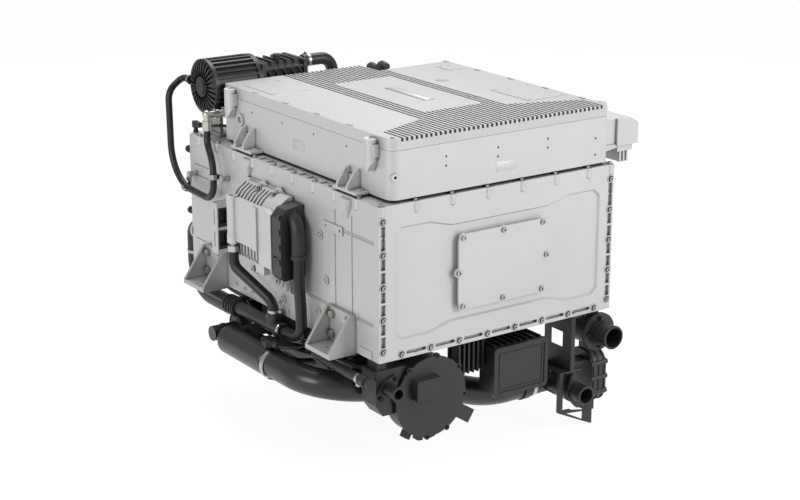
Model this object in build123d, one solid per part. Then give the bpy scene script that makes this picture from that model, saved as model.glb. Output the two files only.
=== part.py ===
"""Fuel cell stack module: a cast stack housing with its converter case, air compressor,
controller, recirculation blower, coolant ports and pipework, hung on four foot brackets.

Millimetres, +Z up. Sizes are worked out in the housing's own axes (X right along the front
face from the left wall, Y back from the front face, Z up from the housing floor). Each solid
is then moved so that the origin lies at the centre of the four chassis bolt holes, in the
plane on which the feet bolt down.
"""
from build123d import *
from math import atan2, cos, degrees, hypot, pi, radians, sin
import os

os.makedirs("parts", exist_ok=True)

# ----------------------------------------------------------------- driving sizes: stack housing
HOUSING_W = 748.5
HOUSING_H = 400.0
BODY_D = 751.0
COVER_T = 14.0
END_D = 189.0
END_INSET = 3.0
WALL = 9.0
FLOOR_T = 10.0
TOP_PLATE_T = 7.5
BOSS_R = 10.5
BOSS_DROP = 33.0
BOSS_TIP = 8.0
BOLT_R = 6.0
BOLT_HEAD_H = 5.0
RING_R = 9.0
RING_H = 1.6

# front cover rows
SIDE_BOLT_Z0 = 28.0
SIDE_BOLT_TOP = 38.8
SIDE_BOLT_N = 5
SIDE_BOLT_INSET = 12.0
FOOT_BOLT_X0 = 67.0
FOOT_BOLT_LAST = 56.1
FOOT_BOLT_N = 8
FOOT_BOLT_Z = 12.0
TOP_BOSS_X0 = 112.0
TOP_BOSS_LAST = 86.5
TOP_BOSS_N = 6
POCKET_D = 9.0
POCKET_H = 30.0
POCKET_W = 14.0
RECESS_D = 5.5
RECESS_MARGIN = 47.25
RECESS_MARGIN_Z = 54.5
RECESS_CORNER = 19.0
RECESS_WING = 105.0
RECESS_WAIST = 174.0
RECESS_DROP = 18.0
RECESS_LOWER = 4.5

# access plate on the front cover
ACCESS_W = 281.0
ACCESS_H = 198.0
ACCESS_T = 5.0
ACCESS_PAD_T = 6.0
ACCESS_R = 18.0
ACCESS_TAB_R = 12.0
ACCESS_BOLT_R = 7.0
ACCESS_BOLT_H = 4.5

# side walls
SIDE_BOSS_Y0 = 99.0
SIDE_BOSS_PITCH = 100.2
SIDE_BOSS_N = 9
GROOVE_D = 2.0
GROOVE_W = 3.0
GROOVE_Z = 93.0

# stack inside the housing
CELL_W = 560.0
CELL_H = 300.0
CELL_CLEAR = 1.0
PLATEN_T = 28.0
RAIL_H = 22.0
RAIL_W = 40.0

# ---------------------------------------------------------------- driving sizes: converter case
CASE_X0 = 40.0
CASE_MARGIN = 21.5
CASE_Y0 = 7.0
CASE_D = 804.0
CASE_JOG_X = 444.0
CASE_JOG_D = 96.0
CASE_H = 123.5
CASE_R = 24.0
CASE_WALL = 6.0
LID_H = 30.0
LID_GAP = 0.6
FIN_PITCH = 14.3
FIN_SLOT = 7.4
FIN_DEPTH = 9.0
BOSS_CAN_R = 18.0
BOSS_CAN_H = 54.0
CLIP_L = 26.0
CLIP_W = 7.0
CLIP_H = 2.2
PANEL_T = 1.2

# ------------------------------------------------------------------- driving sizes: foot brackets
BRACKET_W = 114.0
BRACKET_REACH = 80.0
BRACKET_TOP_REACH = 17.0
BRACKET_H = 103.0
BRACKET_PLATE_T = 12.0
BRACKET_GUSSET_T = 10.0
BRACKET_FOOT_T = 12.0
BRACKET_FRONT_Y = 160.0
BRACKET_REAR_Y = 805.0
BRACKET_DROP = 5.0
FOOT_HOLE_R = 8.5
FOOT_HOLE_X = 45.0

# ---------------------------------------------------------------- driving sizes: air compressor
MOTOR_R = 77.0
MOTOR_X0 = 10.0
MOTOR_L = 165.0
MOTOR_Y = 897.0
MOTOR_RISE = 139.0
MOTOR_RIB_N = 28
MOTOR_RIB_H = 7.0
BELL_T = 22.0
HUB_R = 22.0
SCROLL_L = 150.0
SCROLL_R = 60.0

# ------------------------------------------------------------------- driving sizes: underside
MUFFLER_R = 41.0
MUFFLER_X = -72.0
MUFFLER_Z = -102.0
MUFFLER_Y0 = 380.0
MUFFLER_L = 250.0
BLOWER_X = 166.0
BLOWER_Z = -127.0
BLOWER_R = 108.0
BLOWER_Y = 10.0
BLOWER_T = 52.0
ECU_X = 367.0
ECU_W = 178.0
ECU_H = 136.0
ECU_D = 58.0
ECU_Y = 8.0
ECU_DROP = 42.0
PORT_MARGIN = 33.5
PORT_Z = -61.0
PORT_R = 31.0
PORT_BORE_R = 27.0
PORT_L = 60.0
PORT_DISC_R = 53.0
LOW_PORT_MARGIN = 107.5
LOW_PORT_Z = -216.0
LOW_PORT_R = 25.0
LOW_PORT_BORE_R = 21.0
LOW_PORT_L = 42.0


# ------------------------------------------------------------- driving sizes: case and lid detail
CAN_FRONT_Y = 80.0
CAN_REAR_Y = 764.0
FRONT_HOLES = ((164.5, 89.5), (325.6, 89.5), (486.0, 89.5), (164.5, 66.0), (325.6, 66.0),
               (486.0, 66.0), (646.0, 68.5), (646.0, 24.5))
SIDE_HOLES = ((697.0, 136.0), (612.0, 136.0), (656.0, 99.0), (502.0, 99.0), (348.0, 99.0),
              (194.0, 99.0))
FIN_LEFT = 228.0
FIN_CENTRE_X1 = 471.0
FIN_RIGHT = 513.0
PLAIN_FRONT = 200.0
PLAIN_REAR = 623.0
LUG_FRONT_Y = 165.0
LUG_REAR_Y = 672.0
LUG_W = 100.0
LUG_SPREAD = 44.0
LUG_T = 8.0
LUG_FOOT_Z = 6.4
LUG_FRONT_H = 60.0
LUG_REAR_H = 64.0
END_COVER_T = 16.0
WALL_RINGS = ((263.0, 270.0), (237.0, 155.0), (276.0, 60.0), (448.0, 47.0))
REAR_PIPE_X = 32.0
REAR_PIPE_R = 26.0
REAR_PIPE_TOP = 112.0
BRACKET_T_CLEAR = 30.0
RIB_T = 1.8
WALL_PORTS = ((448.0, 22.0), (425.0, 18.0), (470.0, 30.0), (616.0, 20.0), (655.0, 20.0), (700.0, 22.0),
              (520.0, 24.0), (560.0, 18.0))

# ------------------------------------------------------- driving sizes: controller on the left wall
CONTROLLER_PAD_T = 8.0
CONTROLLER_Y0 = 385.0
CONTROLLER_Y1 = 602.0
CONTROLLER_Z0 = 150.0
CONTROLLER_Z1 = 338.0
CONTROLLER_D = 52.0
CTRL_COVER_T = 15.0
CTRL_COVER_Z0 = 190.0
CTRL_COVER_Z1 = 309.0
CTRL_FIN_PITCH = 16.5
CTRL_TUBE_R = 15.0
SIDE_COVER_W = 46.0
SERVICE_Y0 = 26.0
SERVICE_L = 120.0
HV_BOX_GAP = 10.0
HV_BOX_W = 120.0
HV_BOX_D = 66.0
HV_BOX_H = 136.0

# ------------------------------------------------------------ driving sizes: pipes and small parts
MOTOR_SADDLE_H = 61.5
OUTLET_R = 13.5
OUTLET_Y = 880.0
OUTLET_RISE = 180.0
ELBOW_RUN = 52.0
CLIP_ARM_X = -16.0
SOCKET_Y = 722.0
SOCKET_Z0 = 108.0
SOCKET_Z1 = 250.0
TEE_X = -28.0
TEE_Z = -27.0
TEE_R = 18.0
TEE_Y0 = 405.0
TEE_Y1 = 640.0
BRANCH_Y = 458.0
HOSE_R = 14.5
RISER_X = -34.0
RISER_Y = 318.0
RISER_R = 15.5
RISER_TOP = 196.0
PUMP_R = 24.0
PUMP_Z = -28.0
REAR_PIPE_Y = 988.0
REAR_PIPE_Z = -75.0
REAR_PIPE_Y0 = 690.0
HANGER_X = 14.0
DUCT_Y = 150.0
DUCT_MID_X = 230.0
DUCT_END_GAP = 42.0
DUCT_END_Z = -214.0
BLOWER_LID_T = 7.0
SPOUT_W = 38.0
SPOUT_L = 152.0
STUB_X = 36.0
STUB_Z = -78.0
SLIM_X = -32.0
SLIM_Z = -44.0
SLIM_R = 12.0
FRAME_MARGIN = 126.5
FRAME_D = 112.0
SHELF_Z = -153.0
BRACE_Z = -268.0
ACT_MARGIN = 32.5
ACT_T = 50.0
ACT_Y = 24.0
ACT_D = 96.0
ACT_H = 148.0
ACT_Z = -206.0

# -------------------------------------------------------------------------- sizes that follow
SIDE_BOLT_PITCH = (HOUSING_H - SIDE_BOLT_Z0 - SIDE_BOLT_TOP) / (SIDE_BOLT_N - 1)
FOOT_BOLT_PITCH = (HOUSING_W - FOOT_BOLT_X0 - FOOT_BOLT_LAST) / (FOOT_BOLT_N - 1)
TOP_BOSS_PITCH = (HOUSING_W - TOP_BOSS_X0 - TOP_BOSS_LAST) / (TOP_BOSS_N - 1)
RECESS_HALF_W = HOUSING_W / 2 - RECESS_MARGIN
RECESS_HALF_H = HOUSING_H / 2 - RECESS_MARGIN_Z
RECESS_Z = HOUSING_H / 2 - RECESS_LOWER
CASE_W = HOUSING_W - CASE_X0 - CASE_MARGIN
MOTOR_Z = HOUSING_H + MOTOR_RISE
OUTLET_Z = HOUSING_H + OUTLET_RISE
PORT_X = HOUSING_W - PORT_MARGIN
LOW_PORT_X = HOUSING_W - LOW_PORT_MARGIN
FRAME_X = HOUSING_W - FRAME_MARGIN
ACT_X = HOUSING_W - ACT_MARGIN
DUCT_END_X = FRAME_X - DUCT_END_GAP
HV_BOX_X = CASE_X0 + CASE_JOG_X + HV_BOX_GAP
BODY_Y1 = COVER_T + BODY_D
BACK_Y = BODY_Y1 + END_D
CASE_Z0 = HOUSING_H + TOP_PLATE_T
LID_Z0 = CASE_Z0 + CASE_H
LID_TOP = LID_Z0 + LID_H
CASE_X1 = CASE_X0 + CASE_W
CASE_Y1 = CASE_Y0 + CASE_D
JOG_X = CASE_X0 + CASE_JOG_X
JOG_Y = CASE_Y1 - CASE_JOG_D
CASE_MID_X = CASE_X0 + CASE_W / 2
FOOT_PLANE = -BRACKET_DROP
BRACKET_YS = (BRACKET_FRONT_Y, BRACKET_REAR_Y)
ORIGIN = Location((-HOUSING_W / 2, -(BRACKET_FRONT_Y + BRACKET_REAR_Y) / 2, BRACKET_DROP))


# ------------------------------------------------------------------------------- small helpers
def block(x0, x1, y0, y1, z0, z1):
    """Rectangular solid between two corners."""
    size = (abs(x1 - x0), abs(y1 - y0), abs(z1 - z0))
    return Pos((x0 + x1) / 2, (y0 + y1) / 2, (z0 + z1) / 2) * Box(*size)


def rod_x(r, x0, x1, y, z):
    """Round bar along X."""
    return Pos((x0 + x1) / 2, y, z) * Rot(0, 90, 0) * Cylinder(r, abs(x1 - x0))


def rod_y(r, y0, y1, x, z):
    """Round bar along Y."""
    return Pos(x, (y0 + y1) / 2, z) * Rot(90, 0, 0) * Cylinder(r, abs(y1 - y0))


def rod_z(r, z0, z1, x, y):
    """Round bar along Z."""
    return Pos(x, y, (z0 + z1) / 2) * Cylinder(r, abs(z1 - z0))


def ring_y(r_out, r_in, y0, y1, x, z):
    """Flat ring whose axis runs along Y."""
    return rod_y(r_out, y0, y1, x, z) - rod_y(r_in, y0 - 1, y1 + 1, x, z)


def prism_y(points, y0, y1):
    """Prism of an X-Z outline between two Y planes."""
    face = make_face(Polyline(*[(x, y0, z) for x, z in points], close=True))
    return extrude(face, amount=y1 - y0, dir=(0, 1, 0))


def prism_x(points, x0, x1):
    """Prism of a Y-Z outline between two X planes."""
    face = make_face(Polyline(*[(x0, y, z) for y, z in points], close=True))
    return extrude(face, amount=x1 - x0, dir=(1, 0, 0))


def prism_z(points, z0, z1):
    """Prism of an X-Y outline between two levels."""
    face = make_face(Polyline(*[(x, y, z0) for x, y in points], close=True))
    return extrude(face, amount=z1 - z0, dir=(0, 0, 1))


def pipe(points, r, shares=None):
    """Round pipe along straight runs joined by tangent arcs as large as the runs allow."""
    radii = []
    for i in range(1, len(points) - 1):
        a = Vector(*points[i]) - Vector(*points[i - 1])
        b = Vector(*points[i + 1]) - Vector(*points[i])
        turn = radians(a.get_angle(b))
        share = shares[i - 1] if shares else 0.45
        radii.append(share * min(a.length, b.length) / (sin(turn / 2) / cos(turn / 2)))
    route = FilletPolyline(*points, radius=radii)
    return sweep(Plane(origin=route @ 0, z_dir=route % 0) * Circle(r), path=route)


def cap_screw(r, h):
    """Socket-head screw, axis Z, seated at zero."""
    head = Pos(0, 0, h / 2) * Cylinder(r, h)
    return head - Pos(0, 0, h - 0.45 * h) * extrude(RegularPolygon(0.55 * r, 6), 0.5 * h)


def front_screws(places, y, r, h):
    """Cap screws that stand on a face at the given Y and point to the front."""
    return [Pos(x, y, z) * Rot(90, 0, 0) * cap_screw(r, h) for x, z in places]


def save(name, shape):
    """Write one node, moved to the module's origin."""
    pieces = shape if isinstance(shape, list) else [shape]
    solids = [ORIGIN * solid for piece in pieces for solid in piece.solids()]
    export_step(Compound(solids), f"parts/{name}.step")


# --------------------------------------------------------------------------------- hole rows
side_zs = [SIDE_BOLT_Z0 + i * SIDE_BOLT_PITCH for i in range(SIDE_BOLT_N)]
side_xs = (SIDE_BOLT_INSET, HOUSING_W - SIDE_BOLT_INSET)
foot_xs = [FOOT_BOLT_X0 + i * FOOT_BOLT_PITCH for i in range(FOOT_BOLT_N)]
front_boss_xs = [BOSS_R] + [TOP_BOSS_X0 + i * TOP_BOSS_PITCH for i in range(TOP_BOSS_N)]
front_boss_xs += [HOUSING_W - BOSS_R]
side_boss_ys = [SIDE_BOSS_Y0 + i * SIDE_BOSS_PITCH for i in range(SIDE_BOSS_N)]
cover_bolts = [(x, z) for x in side_xs for z in side_zs] + [(x, FOOT_BOLT_Z) for x in foot_xs]
BOSS_SET = 6.0


def wall_boss(x, y):
    """Half-round flange boss with a coned tip, hung under the top flange."""
    shank = rod_z(BOSS_R, HOUSING_H - BOSS_DROP + BOSS_TIP, HOUSING_H, x, y)
    tip = Pos(x, y, HOUSING_H - BOSS_DROP + BOSS_TIP / 2) * Cone(BOSS_R * 0.35, BOSS_R, BOSS_TIP)
    return shank + tip


def wall_ring(y, z, x, out, r=9.0):
    """Small round cast pad on a side wall."""
    return rod_x(r, min(x, x + out), max(x, x + out), y, z)


# ------------------------------------------------------------------------------ stack housing
def stack_housing():
    """Main casting: open-ended rectangular tube with flange bosses and wall features."""
    body = block(0, HOUSING_W, COVER_T, BODY_Y1, 0, HOUSING_H)
    pad_t = CONTROLLER_PAD_T
    y0, y1 = CONTROLLER_Y0 + 40, CONTROLLER_Y1 + 12
    z0, z1 = CONTROLLER_Z0 - 75, CONTROLLER_Z1 + 8
    body += prism_x([(y0, z0), (y0, z1 - 14), (y0 + 14, z1), (y1, z1), (y1, z0 + 110),
                     (y0 + 90, z0)], -pad_t, 0)
    for y in side_boss_ys:
        if BRACKET_T_CLEAR < y < BODY_Y1 - BOSS_R:
            body += wall_boss(BOSS_SET, y)
            body += wall_boss(HOUSING_W - BOSS_SET, y)
    for y, z in WALL_RINGS:
        body += wall_ring(y, z, 0, -4, 11.5) - rod_x(7.5, -5, -2, y, z)
        body += rod_x(4.5, -4, 0, y, z)
    body += block(-2, 0, 31, 83, 1, 23)
    body -= block(WALL, HOUSING_W - WALL, COVER_T - 1, BODY_Y1 + 1, FLOOR_T, HOUSING_H - WALL)
    for dz in (-3.0, 3.0):
        z = GROOVE_Z + dz
        body -= block(-1, GROOVE_D, 25, BRACKET_FRONT_Y - BRACKET_W / 2 - 6, z - 1, z + 1)
        body -= block(-1, GROOVE_D, BRACKET_FRONT_Y + BRACKET_W / 2 + 4, 326, z - 1, z + 1)
    for y in (119.5, 195.5):
        body += block(-RIB_T, 1, y - GROOVE_W / 2, y + GROOVE_W / 2, 100, 352)
    for z in (301, 307):
        body += block(-RIB_T, 1, 24, 152, z - 1, z + 1)
    body += block(-4, 1, 157, 244, 291, 313) - rod_x(3, -5, 1, 232, 302)
    body -= rod_x(3.5, -5, 1, 169, 302)
    for y in (LUG_FRONT_Y - 23, LUG_REAR_Y - 52):
        tongue = Pos(2, y, HOUSING_H - 40) * Cone(7, 22, 36) + rod_z(22, HOUSING_H - 22, HOUSING_H - 8, 2, y)
        body += tongue & block(-12, 2, y - 30, y + 30, 0, HOUSING_H)
    for y, z in WALL_PORTS:
        body += rod_x(7, -2, 1, y, z) - rod_x(3.6, -3, 1, y, z)
    for left, right in ((9, CASE_X0 - 8), (CASE_X1 + 8, HOUSING_W - 9)):
        if right - left > 6:
            for a, b in zip(side_boss_ys[:-1], side_boss_ys[1:]):
                if b < BODY_Y1:
                    body -= block(left, right, a + 16, (a + b) / 2 - 4, HOUSING_H - 4, HOUSING_H + 1)
                    body -= block(left, right, (a + b) / 2 + 4, b - 16, HOUSING_H - 4, HOUSING_H + 1)
    return body


def recess_face():
    """Front recess: a wide panel with waisted top and bottom edges and cut corners."""
    cx = HOUSING_W / 2
    w, h, c = RECESS_HALF_W, RECESS_HALF_H, RECESS_CORNER
    quarter = [(w, h - c), (w - c, h), (w - RECESS_WING, h), (w - RECESS_WAIST, h - RECESS_DROP)]
    upper = quarter + [(-x, z) for x, z in reversed(quarter)]
    lower = [(-x, -z) for x, z in upper]
    return [(cx + x, RECESS_Z + z) for x, z in upper + lower]


def front_cover():
    """Bolted front cover with its panel recess, screw rings, pockets and flange bosses."""
    plate = block(0, HOUSING_W, 0, COVER_T, 0, HOUSING_H)
    for x in front_boss_xs:
        plate += wall_boss(x, BOSS_SET) & block(-50, HOUSING_W + 50, -50, COVER_T, 0, HOUSING_H)
    panel = make_face(Polyline(*[(x, 0, z) for x, z in recess_face()], close=True))
    plate -= extrude(panel, amount=RECESS_D, dir=(0, 1, 0), taper=38)
    cx = HOUSING_W / 2
    pad = Pos(cx, RECESS_D, RECESS_Z) * Rot(90, 0, 0) * extrude(
        RectangleRounded(ACCESS_W - 12, ACCESS_H - 12, ACCESS_R), RECESS_D + ACCESS_PAD_T)
    plate += pad
    for x, z in cover_bolts:
        plate += ring_y(RING_R + 1.5, RING_R - 0.3, -RING_H, 0.5, x, z)
        plate -= ring_y(RING_R - 0.3, BOLT_R + 0.4, -RING_H - 1, 3.5, x, z)
    half = SIDE_BOLT_PITCH / 2
    for x in side_xs:
        for z in side_zs[:-1]:
            for mid in (z + 0.5 * half + 4, z + 1.5 * half - 4):
                plate -= block(x - POCKET_W / 2, x + POCKET_W / 2, -1, POCKET_D,
                               mid - POCKET_H / 2 + 1, mid + POCKET_H / 2 - 1)
    for a, b in zip(foot_xs[:-1], foot_xs[1:]):
        slot = Pos((a + b) / 2, POCKET_D, FOOT_BOLT_Z + 2) * Rot(90, 0, 0) * extrude(
            RectangleRounded(b - a - 30, 9, 3), POCKET_D + 1)
        plate -= slot
    for x in (foot_xs[0] + 43, foot_xs[-2] + 10 + RING_R):
        plate -= rod_y(4.5, -1, 6, x, FOOT_BOLT_Z)
    for x in side_xs:
        plate -= rod_y(5.5, -1, 6, x, side_zs[-1] - half)
    return plate


def access_places():
    """Eight screw places round the access plate."""
    cx = HOUSING_W / 2
    dx, dz = ACCESS_W / 2 - 14, ACCESS_H / 2 - 9
    spots = [(cx - dx, RECESS_Z + dz), (cx, RECESS_Z + dz), (cx + dx, RECESS_Z + dz)]
    spots += [(cx - dx, RECESS_Z - dz), (cx, RECESS_Z - dz), (cx + dx, RECESS_Z - dz)]
    spots += [(cx - ACCESS_W / 2, RECESS_Z), (cx + ACCESS_W / 2, RECESS_Z)]
    return spots


def access_plate():
    """Access plate with round screw tabs, on the cover's raised pad."""
    outline = RectangleRounded(ACCESS_W, ACCESS_H, ACCESS_R)
    for x, z in access_places():
        outline += Pos(x - HOUSING_W / 2, z - RECESS_Z) * Circle(ACCESS_TAB_R)
    return Pos(HOUSING_W / 2, -ACCESS_PAD_T, RECESS_Z) * Rot(90, 0, 0) * extrude(outline, ACCESS_T)


def end_housing():
    """Rear casting behind the joint: hollow box with stepped side walls and flange bosses."""
    e = END_INSET
    body = block(e, HOUSING_W - e, BODY_Y1, BACK_Y - END_COVER_T, e, HOUSING_H)
    for y in side_boss_ys:
        if y > BODY_Y1 + BOSS_R:
            body += wall_boss(e + BOSS_SET, y)
            body += wall_boss(HOUSING_W - e - BOSS_SET, y)
    body -= block(e + WALL, HOUSING_W - e - WALL, BODY_Y1 - 1, BACK_Y, e + WALL, HOUSING_H - WALL)
    mid = (BODY_Y1 + BACK_Y) / 2
    for z0, z1 in ((284, 287), (315, 318)):
        body -= block(e - 1, e + GROOVE_D, mid - 12, mid + 66, z0, z1)
    body -= block(e - 1, e + GROOVE_D, mid + 10, BACK_Y - 20, 96, 99)
    return body


def end_cover():
    """Rear cover plate with two raised bands, round ports and corner rounding."""
    e = END_INSET
    outline = RectangleRounded(HOUSING_W - 2 * e, HOUSING_H - e, 12)
    plate = Pos(HOUSING_W / 2, BACK_Y - END_COVER_T, (HOUSING_H + e) / 2) * Rot(-90, 0, 0) \
        * extrude(outline, END_COVER_T)
    for z in (110, 200, 290):
        plate += block(60, HOUSING_W - 60, BACK_Y, BACK_Y + 4, z - 7, z + 7)
    plate += rod_y(REAR_PIPE_R + 7, BACK_Y, BACK_Y + 8, REAR_PIPE_X, REAR_PIPE_TOP)
    return plate


def rear_screws():
    """Screws round the rear cover."""
    e = END_INSET + 14
    xs = [e + i * (HOUSING_W - 2 * e) / 7 for i in range(8)]
    zs = [HOUSING_H - 14 - i * (HOUSING_H - 28) / 4 for i in range(1, 4)]
    spots = [(x, z) for x in xs for z in (e, HOUSING_H - 14)]
    spots += [(x, z) for x in (xs[0], xs[-1]) for z in zs]
    spots = [p for p in spots if hypot(p[0] - REAR_PIPE_X, p[1] - REAR_PIPE_TOP) > REAR_PIPE_R + 18]
    return [Pos(x, BACK_Y, z) * Rot(-90, 0, 0) * cap_screw(BOLT_R + 1, BOLT_HEAD_H) for x, z in spots]


def flange_screws():
    """Screws and washers on the top flange, one over every flange boss."""
    spots = [(x, BOSS_SET + 1) for x in front_boss_xs]
    spots += [(x, y) for y in side_boss_ys for x in (BOSS_SET + 3, HOUSING_W - BOSS_SET - 3)]
    out = []
    for x, y in spots:
        washer = rod_z(BOLT_R + 2, HOUSING_H, HOUSING_H + 1.4, x, y)
        out.append(washer + Pos(x, y, HOUSING_H + 1.4) * cap_screw(BOLT_R - 0.6, 4.6))
    return out


def top_gasket():
    """Flat black insulating frame between housing and converter case."""
    inset = 9.0
    outer = case_outline(inset)
    frame = extrude(outer, TOP_PLATE_T)
    frame -= extrude(case_outline(inset + 40), TOP_PLATE_T)
    return Pos(0, 0, HOUSING_H) * frame


# ------------------------------------------------------------------------ stack in the housing
def cell_block():
    """Pile of cells with a corrugated edge, standing on the housing rails."""
    cx = HOUSING_W / 2
    z0 = FLOOR_T + RAIL_H
    y0 = COVER_T + PLATEN_T + 12
    y1 = BODY_Y1 - PLATEN_T - 12
    pile = block(cx - CELL_W / 2, cx + CELL_W / 2, y0, y1, z0, z0 + CELL_H)
    n = 24
    pitch = (y1 - y0) / n
    for i in range(n):
        y = y0 + (i + 0.5) * pitch
        for x in (cx - CELL_W / 2, cx + CELL_W / 2):
            pile -= block(x - 3, x + 3, y - 3, y + 3, z0 - 1, z0 + CELL_H + 1)
    return pile


def stack_platens():
    """Two clamping plates at the ends of the pile."""
    cx = HOUSING_W / 2
    z0 = FLOOR_T + RAIL_H
    out = []
    for y in (COVER_T + 12, BODY_Y1 - PLATEN_T - 12):
        plate = Pos(cx, y, z0 + CELL_H / 2) * Rot(-90, 0, 0) * extrude(
            RectangleRounded(CELL_W + 40, CELL_H, 20), PLATEN_T)
        out.append(plate)
    return out


def stack_rails():
    """Two insulating rails that carry the pile on the housing floor."""
    cx = HOUSING_W / 2
    return [block(cx + s - RAIL_W / 2, cx + s + RAIL_W / 2, COVER_T + 12, BODY_Y1 - 12,
                  FLOOR_T, FLOOR_T + RAIL_H) for s in (-CELL_W / 3, CELL_W / 3)]


def tie_bars():
    """Four flat bars over the pile that pull the platens together."""
    cx = HOUSING_W / 2
    z = FLOOR_T + RAIL_H + CELL_H
    return [block(cx + s - 20, cx + s + 20, COVER_T + 12, BODY_Y1 - 12, z, z + 5)
            for s in (-0.36 * CELL_W, -0.12 * CELL_W, 0.12 * CELL_W, 0.36 * CELL_W)]


# ------------------------------------------------------------------------------ converter case
def case_outline(inset):
    """Plan of the case: a rectangle with its rear right corner left out."""
    i = inset
    pts = [(CASE_X0 + i, CASE_Y0 + i), (CASE_X1 - i, CASE_Y0 + i), (CASE_X1 - i, JOG_Y - i),
           (JOG_X - i, JOG_Y - i), (JOG_X - i, CASE_Y1 - i), (CASE_X0 + i, CASE_Y1 - i)]
    face = make_face(Polyline(*pts, close=True))
    if inset:
        corner = face.vertices().sort_by_distance((CASE_X0, CASE_Y0, 0))[0]
        return fillet(corner, CASE_R - i) if CASE_R - i > 2 else face
    near_left = face.vertices().sort_by_distance((CASE_X0, CASE_Y0, 0))[0]
    face = fillet(near_left, CASE_R)
    others = [v for v in face.vertices() if abs(v.X - JOG_X) + abs(v.Y - JOG_Y) > 1
              and hypot(v.X - CASE_X0, v.Y - CASE_Y0) > CASE_R + 1]
    return fillet(others, 7)


def boss_can(y, z1):
    """Half-round screw can on the left face with a tapered web below it."""
    can = rod_z(BOSS_CAN_R, z1 - BOSS_CAN_H, z1, CASE_X0 - 7, y)
    z0, r = z1 - BOSS_CAN_H, BOSS_CAN_R
    web = prism_x([(y - r, z0), (y + r, z0), (y + 6, z0 - 26), (y - 6, z0 - 26)], CASE_X0 - 7 - r, CASE_X0)
    can += web & rod_z(r, z0 - 30, z0 + 1, CASE_X0 - 7, y)
    can += block(CASE_X0 - 16, CASE_X0, y - r - 7, y - r + 4, z1 - 44, z1 - 12)
    can -= rod_z(5, z1 - 8, z1 + 1, CASE_X0 - 10, y)
    return can & block(-50, CASE_X0, y - 50, y + 50, 0, z1 + 1)


def converter_case():
    """Lower half of the converter case: a cast tray with cans, eyelet and flange bosses."""
    tray = Pos(0, 0, CASE_Z0) * extrude(case_outline(0), CASE_H)
    tray -= Pos(0, 0, CASE_Z0 + CASE_WALL) * extrude(case_outline(CASE_WALL), CASE_H)
    shadow = extrude(case_outline(0), 1.0) - extrude(case_outline(1.2), 1.0)
    tray -= Pos(0, 0, LID_Z0 - 1.0) * shadow
    tray += boss_can(CAN_FRONT_Y, LID_TOP - 9)
    tray += boss_can(CAN_REAR_Y, LID_TOP - 6)
    eyelet = rod_y(10, CASE_Y0 - 2, CASE_Y0 + 22, CASE_X0 + 12, CASE_Z0 + 58)
    tray += eyelet - rod_y(4, CASE_Y0 - 3, CASE_Y0 + 12, CASE_X0 + 12, CASE_Z0 + 58)
    tray -= rod_y(4, CASE_Y0 - 3, CASE_Y0 + 12, CASE_X0 + 12, CASE_Z0 + 58)
    flange = rod_x(17, CASE_X0 - 5, CASE_X0, CAN_REAR_Y - 40, CASE_Z0 + 68)
    flange -= rod_x(9, CASE_X0 - 6, CASE_X0 + 1, CAN_REAR_Y - 40, CASE_Z0 + 68)
    tray += flange
    side = rod_z(12, CASE_Z0 + 104.2, LID_TOP + 1, CASE_X1 + 6, CASE_Y0 + 34)
    tray += side & block(CASE_X1, CASE_X1 + 40, 0, 80, 0, LID_TOP + 2)
    tray += block(CASE_X0, CASE_X0 + 60, CASE_Y1 - 1, CASE_Y1 + 20, CASE_Z0 + 56, CASE_Z0 + 84)
    for x, z in FRONT_HOLES:
        tray -= rod_y(3.2, CASE_Y0 - 1, CASE_Y0 + 3, CASE_X0 + x, CASE_Z0 + z)
    for y, z in SIDE_HOLES:
        tray -= rod_x(3.0, CASE_X0 - 1, CASE_X0 + 3, CASE_Y0 + y, CASE_Z0 + z)
    return tray


def slot_boundary(x):
    """Where the plain area starts behind the front slots, and where the rear slots start."""
    if x < FIN_LEFT:
        t = (x - CASE_X0) / (FIN_LEFT - CASE_X0)
        return CASE_Y0 + 66 + 74 * t, None
    if x < FIN_LEFT + 58:
        return None, None
    if x < FIN_CENTRE_X1:
        return CASE_Y0 + PLAIN_FRONT, CASE_Y0 + PLAIN_REAR
    if x < FIN_RIGHT:
        return None, None
    t = (x - FIN_RIGHT) / (CASE_X1 - FIN_RIGHT)
    return CASE_Y0 + 155 - 80 * t, None


def converter_lid():
    """Finned lid: slots run front to back, left out under the three plain areas."""
    lid = Pos(0, 0, LID_Z0) * extrude(case_outline(0), LID_H)
    lid -= Pos(0, 0, LID_Z0 - 1) * extrude(case_outline(CASE_WALL), LID_H - FIN_DEPTH - 5)
    n = int((CASE_W - 34) / FIN_PITCH)
    cuts = []
    for i in range(n):
        x = CASE_X0 + 34 + i * FIN_PITCH
        back = CASE_Y1 if x < JOG_X - 6 else JOG_Y
        stop, start = slot_boundary(x)
        runs = [(CASE_Y0 - 1, stop or back + 1)]
        if start:
            runs.append((start, back + 1))
        for y0, y1 in runs:
            cuts.append(block(x - FIN_SLOT / 2, x + FIN_SLOT / 2, y0, y1, LID_TOP - FIN_DEPTH, LID_TOP + 1))
    lid -= cuts
    lid -= rod_z(7, LID_TOP - 5, LID_TOP + 1, CASE_X0 + 14, CASE_Y0 + 14)
    return lid


def lid_clips():
    """Oblong clips along the two long top edges."""
    out = []
    for i in range(4):
        out.append((CASE_X0 + 7, CASE_Y0 + 187 + i * 153))
    for i in range(5):
        out.append((CASE_X1 - 7, CASE_Y0 + 97 + i * 152))
    shape = extrude(SlotOverall(CLIP_L, CLIP_W), CLIP_H)
    return [Pos(x, y, LID_TOP) * Rot(0, 0, 90) * shape for x, y in out if y < JOG_Y]


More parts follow.
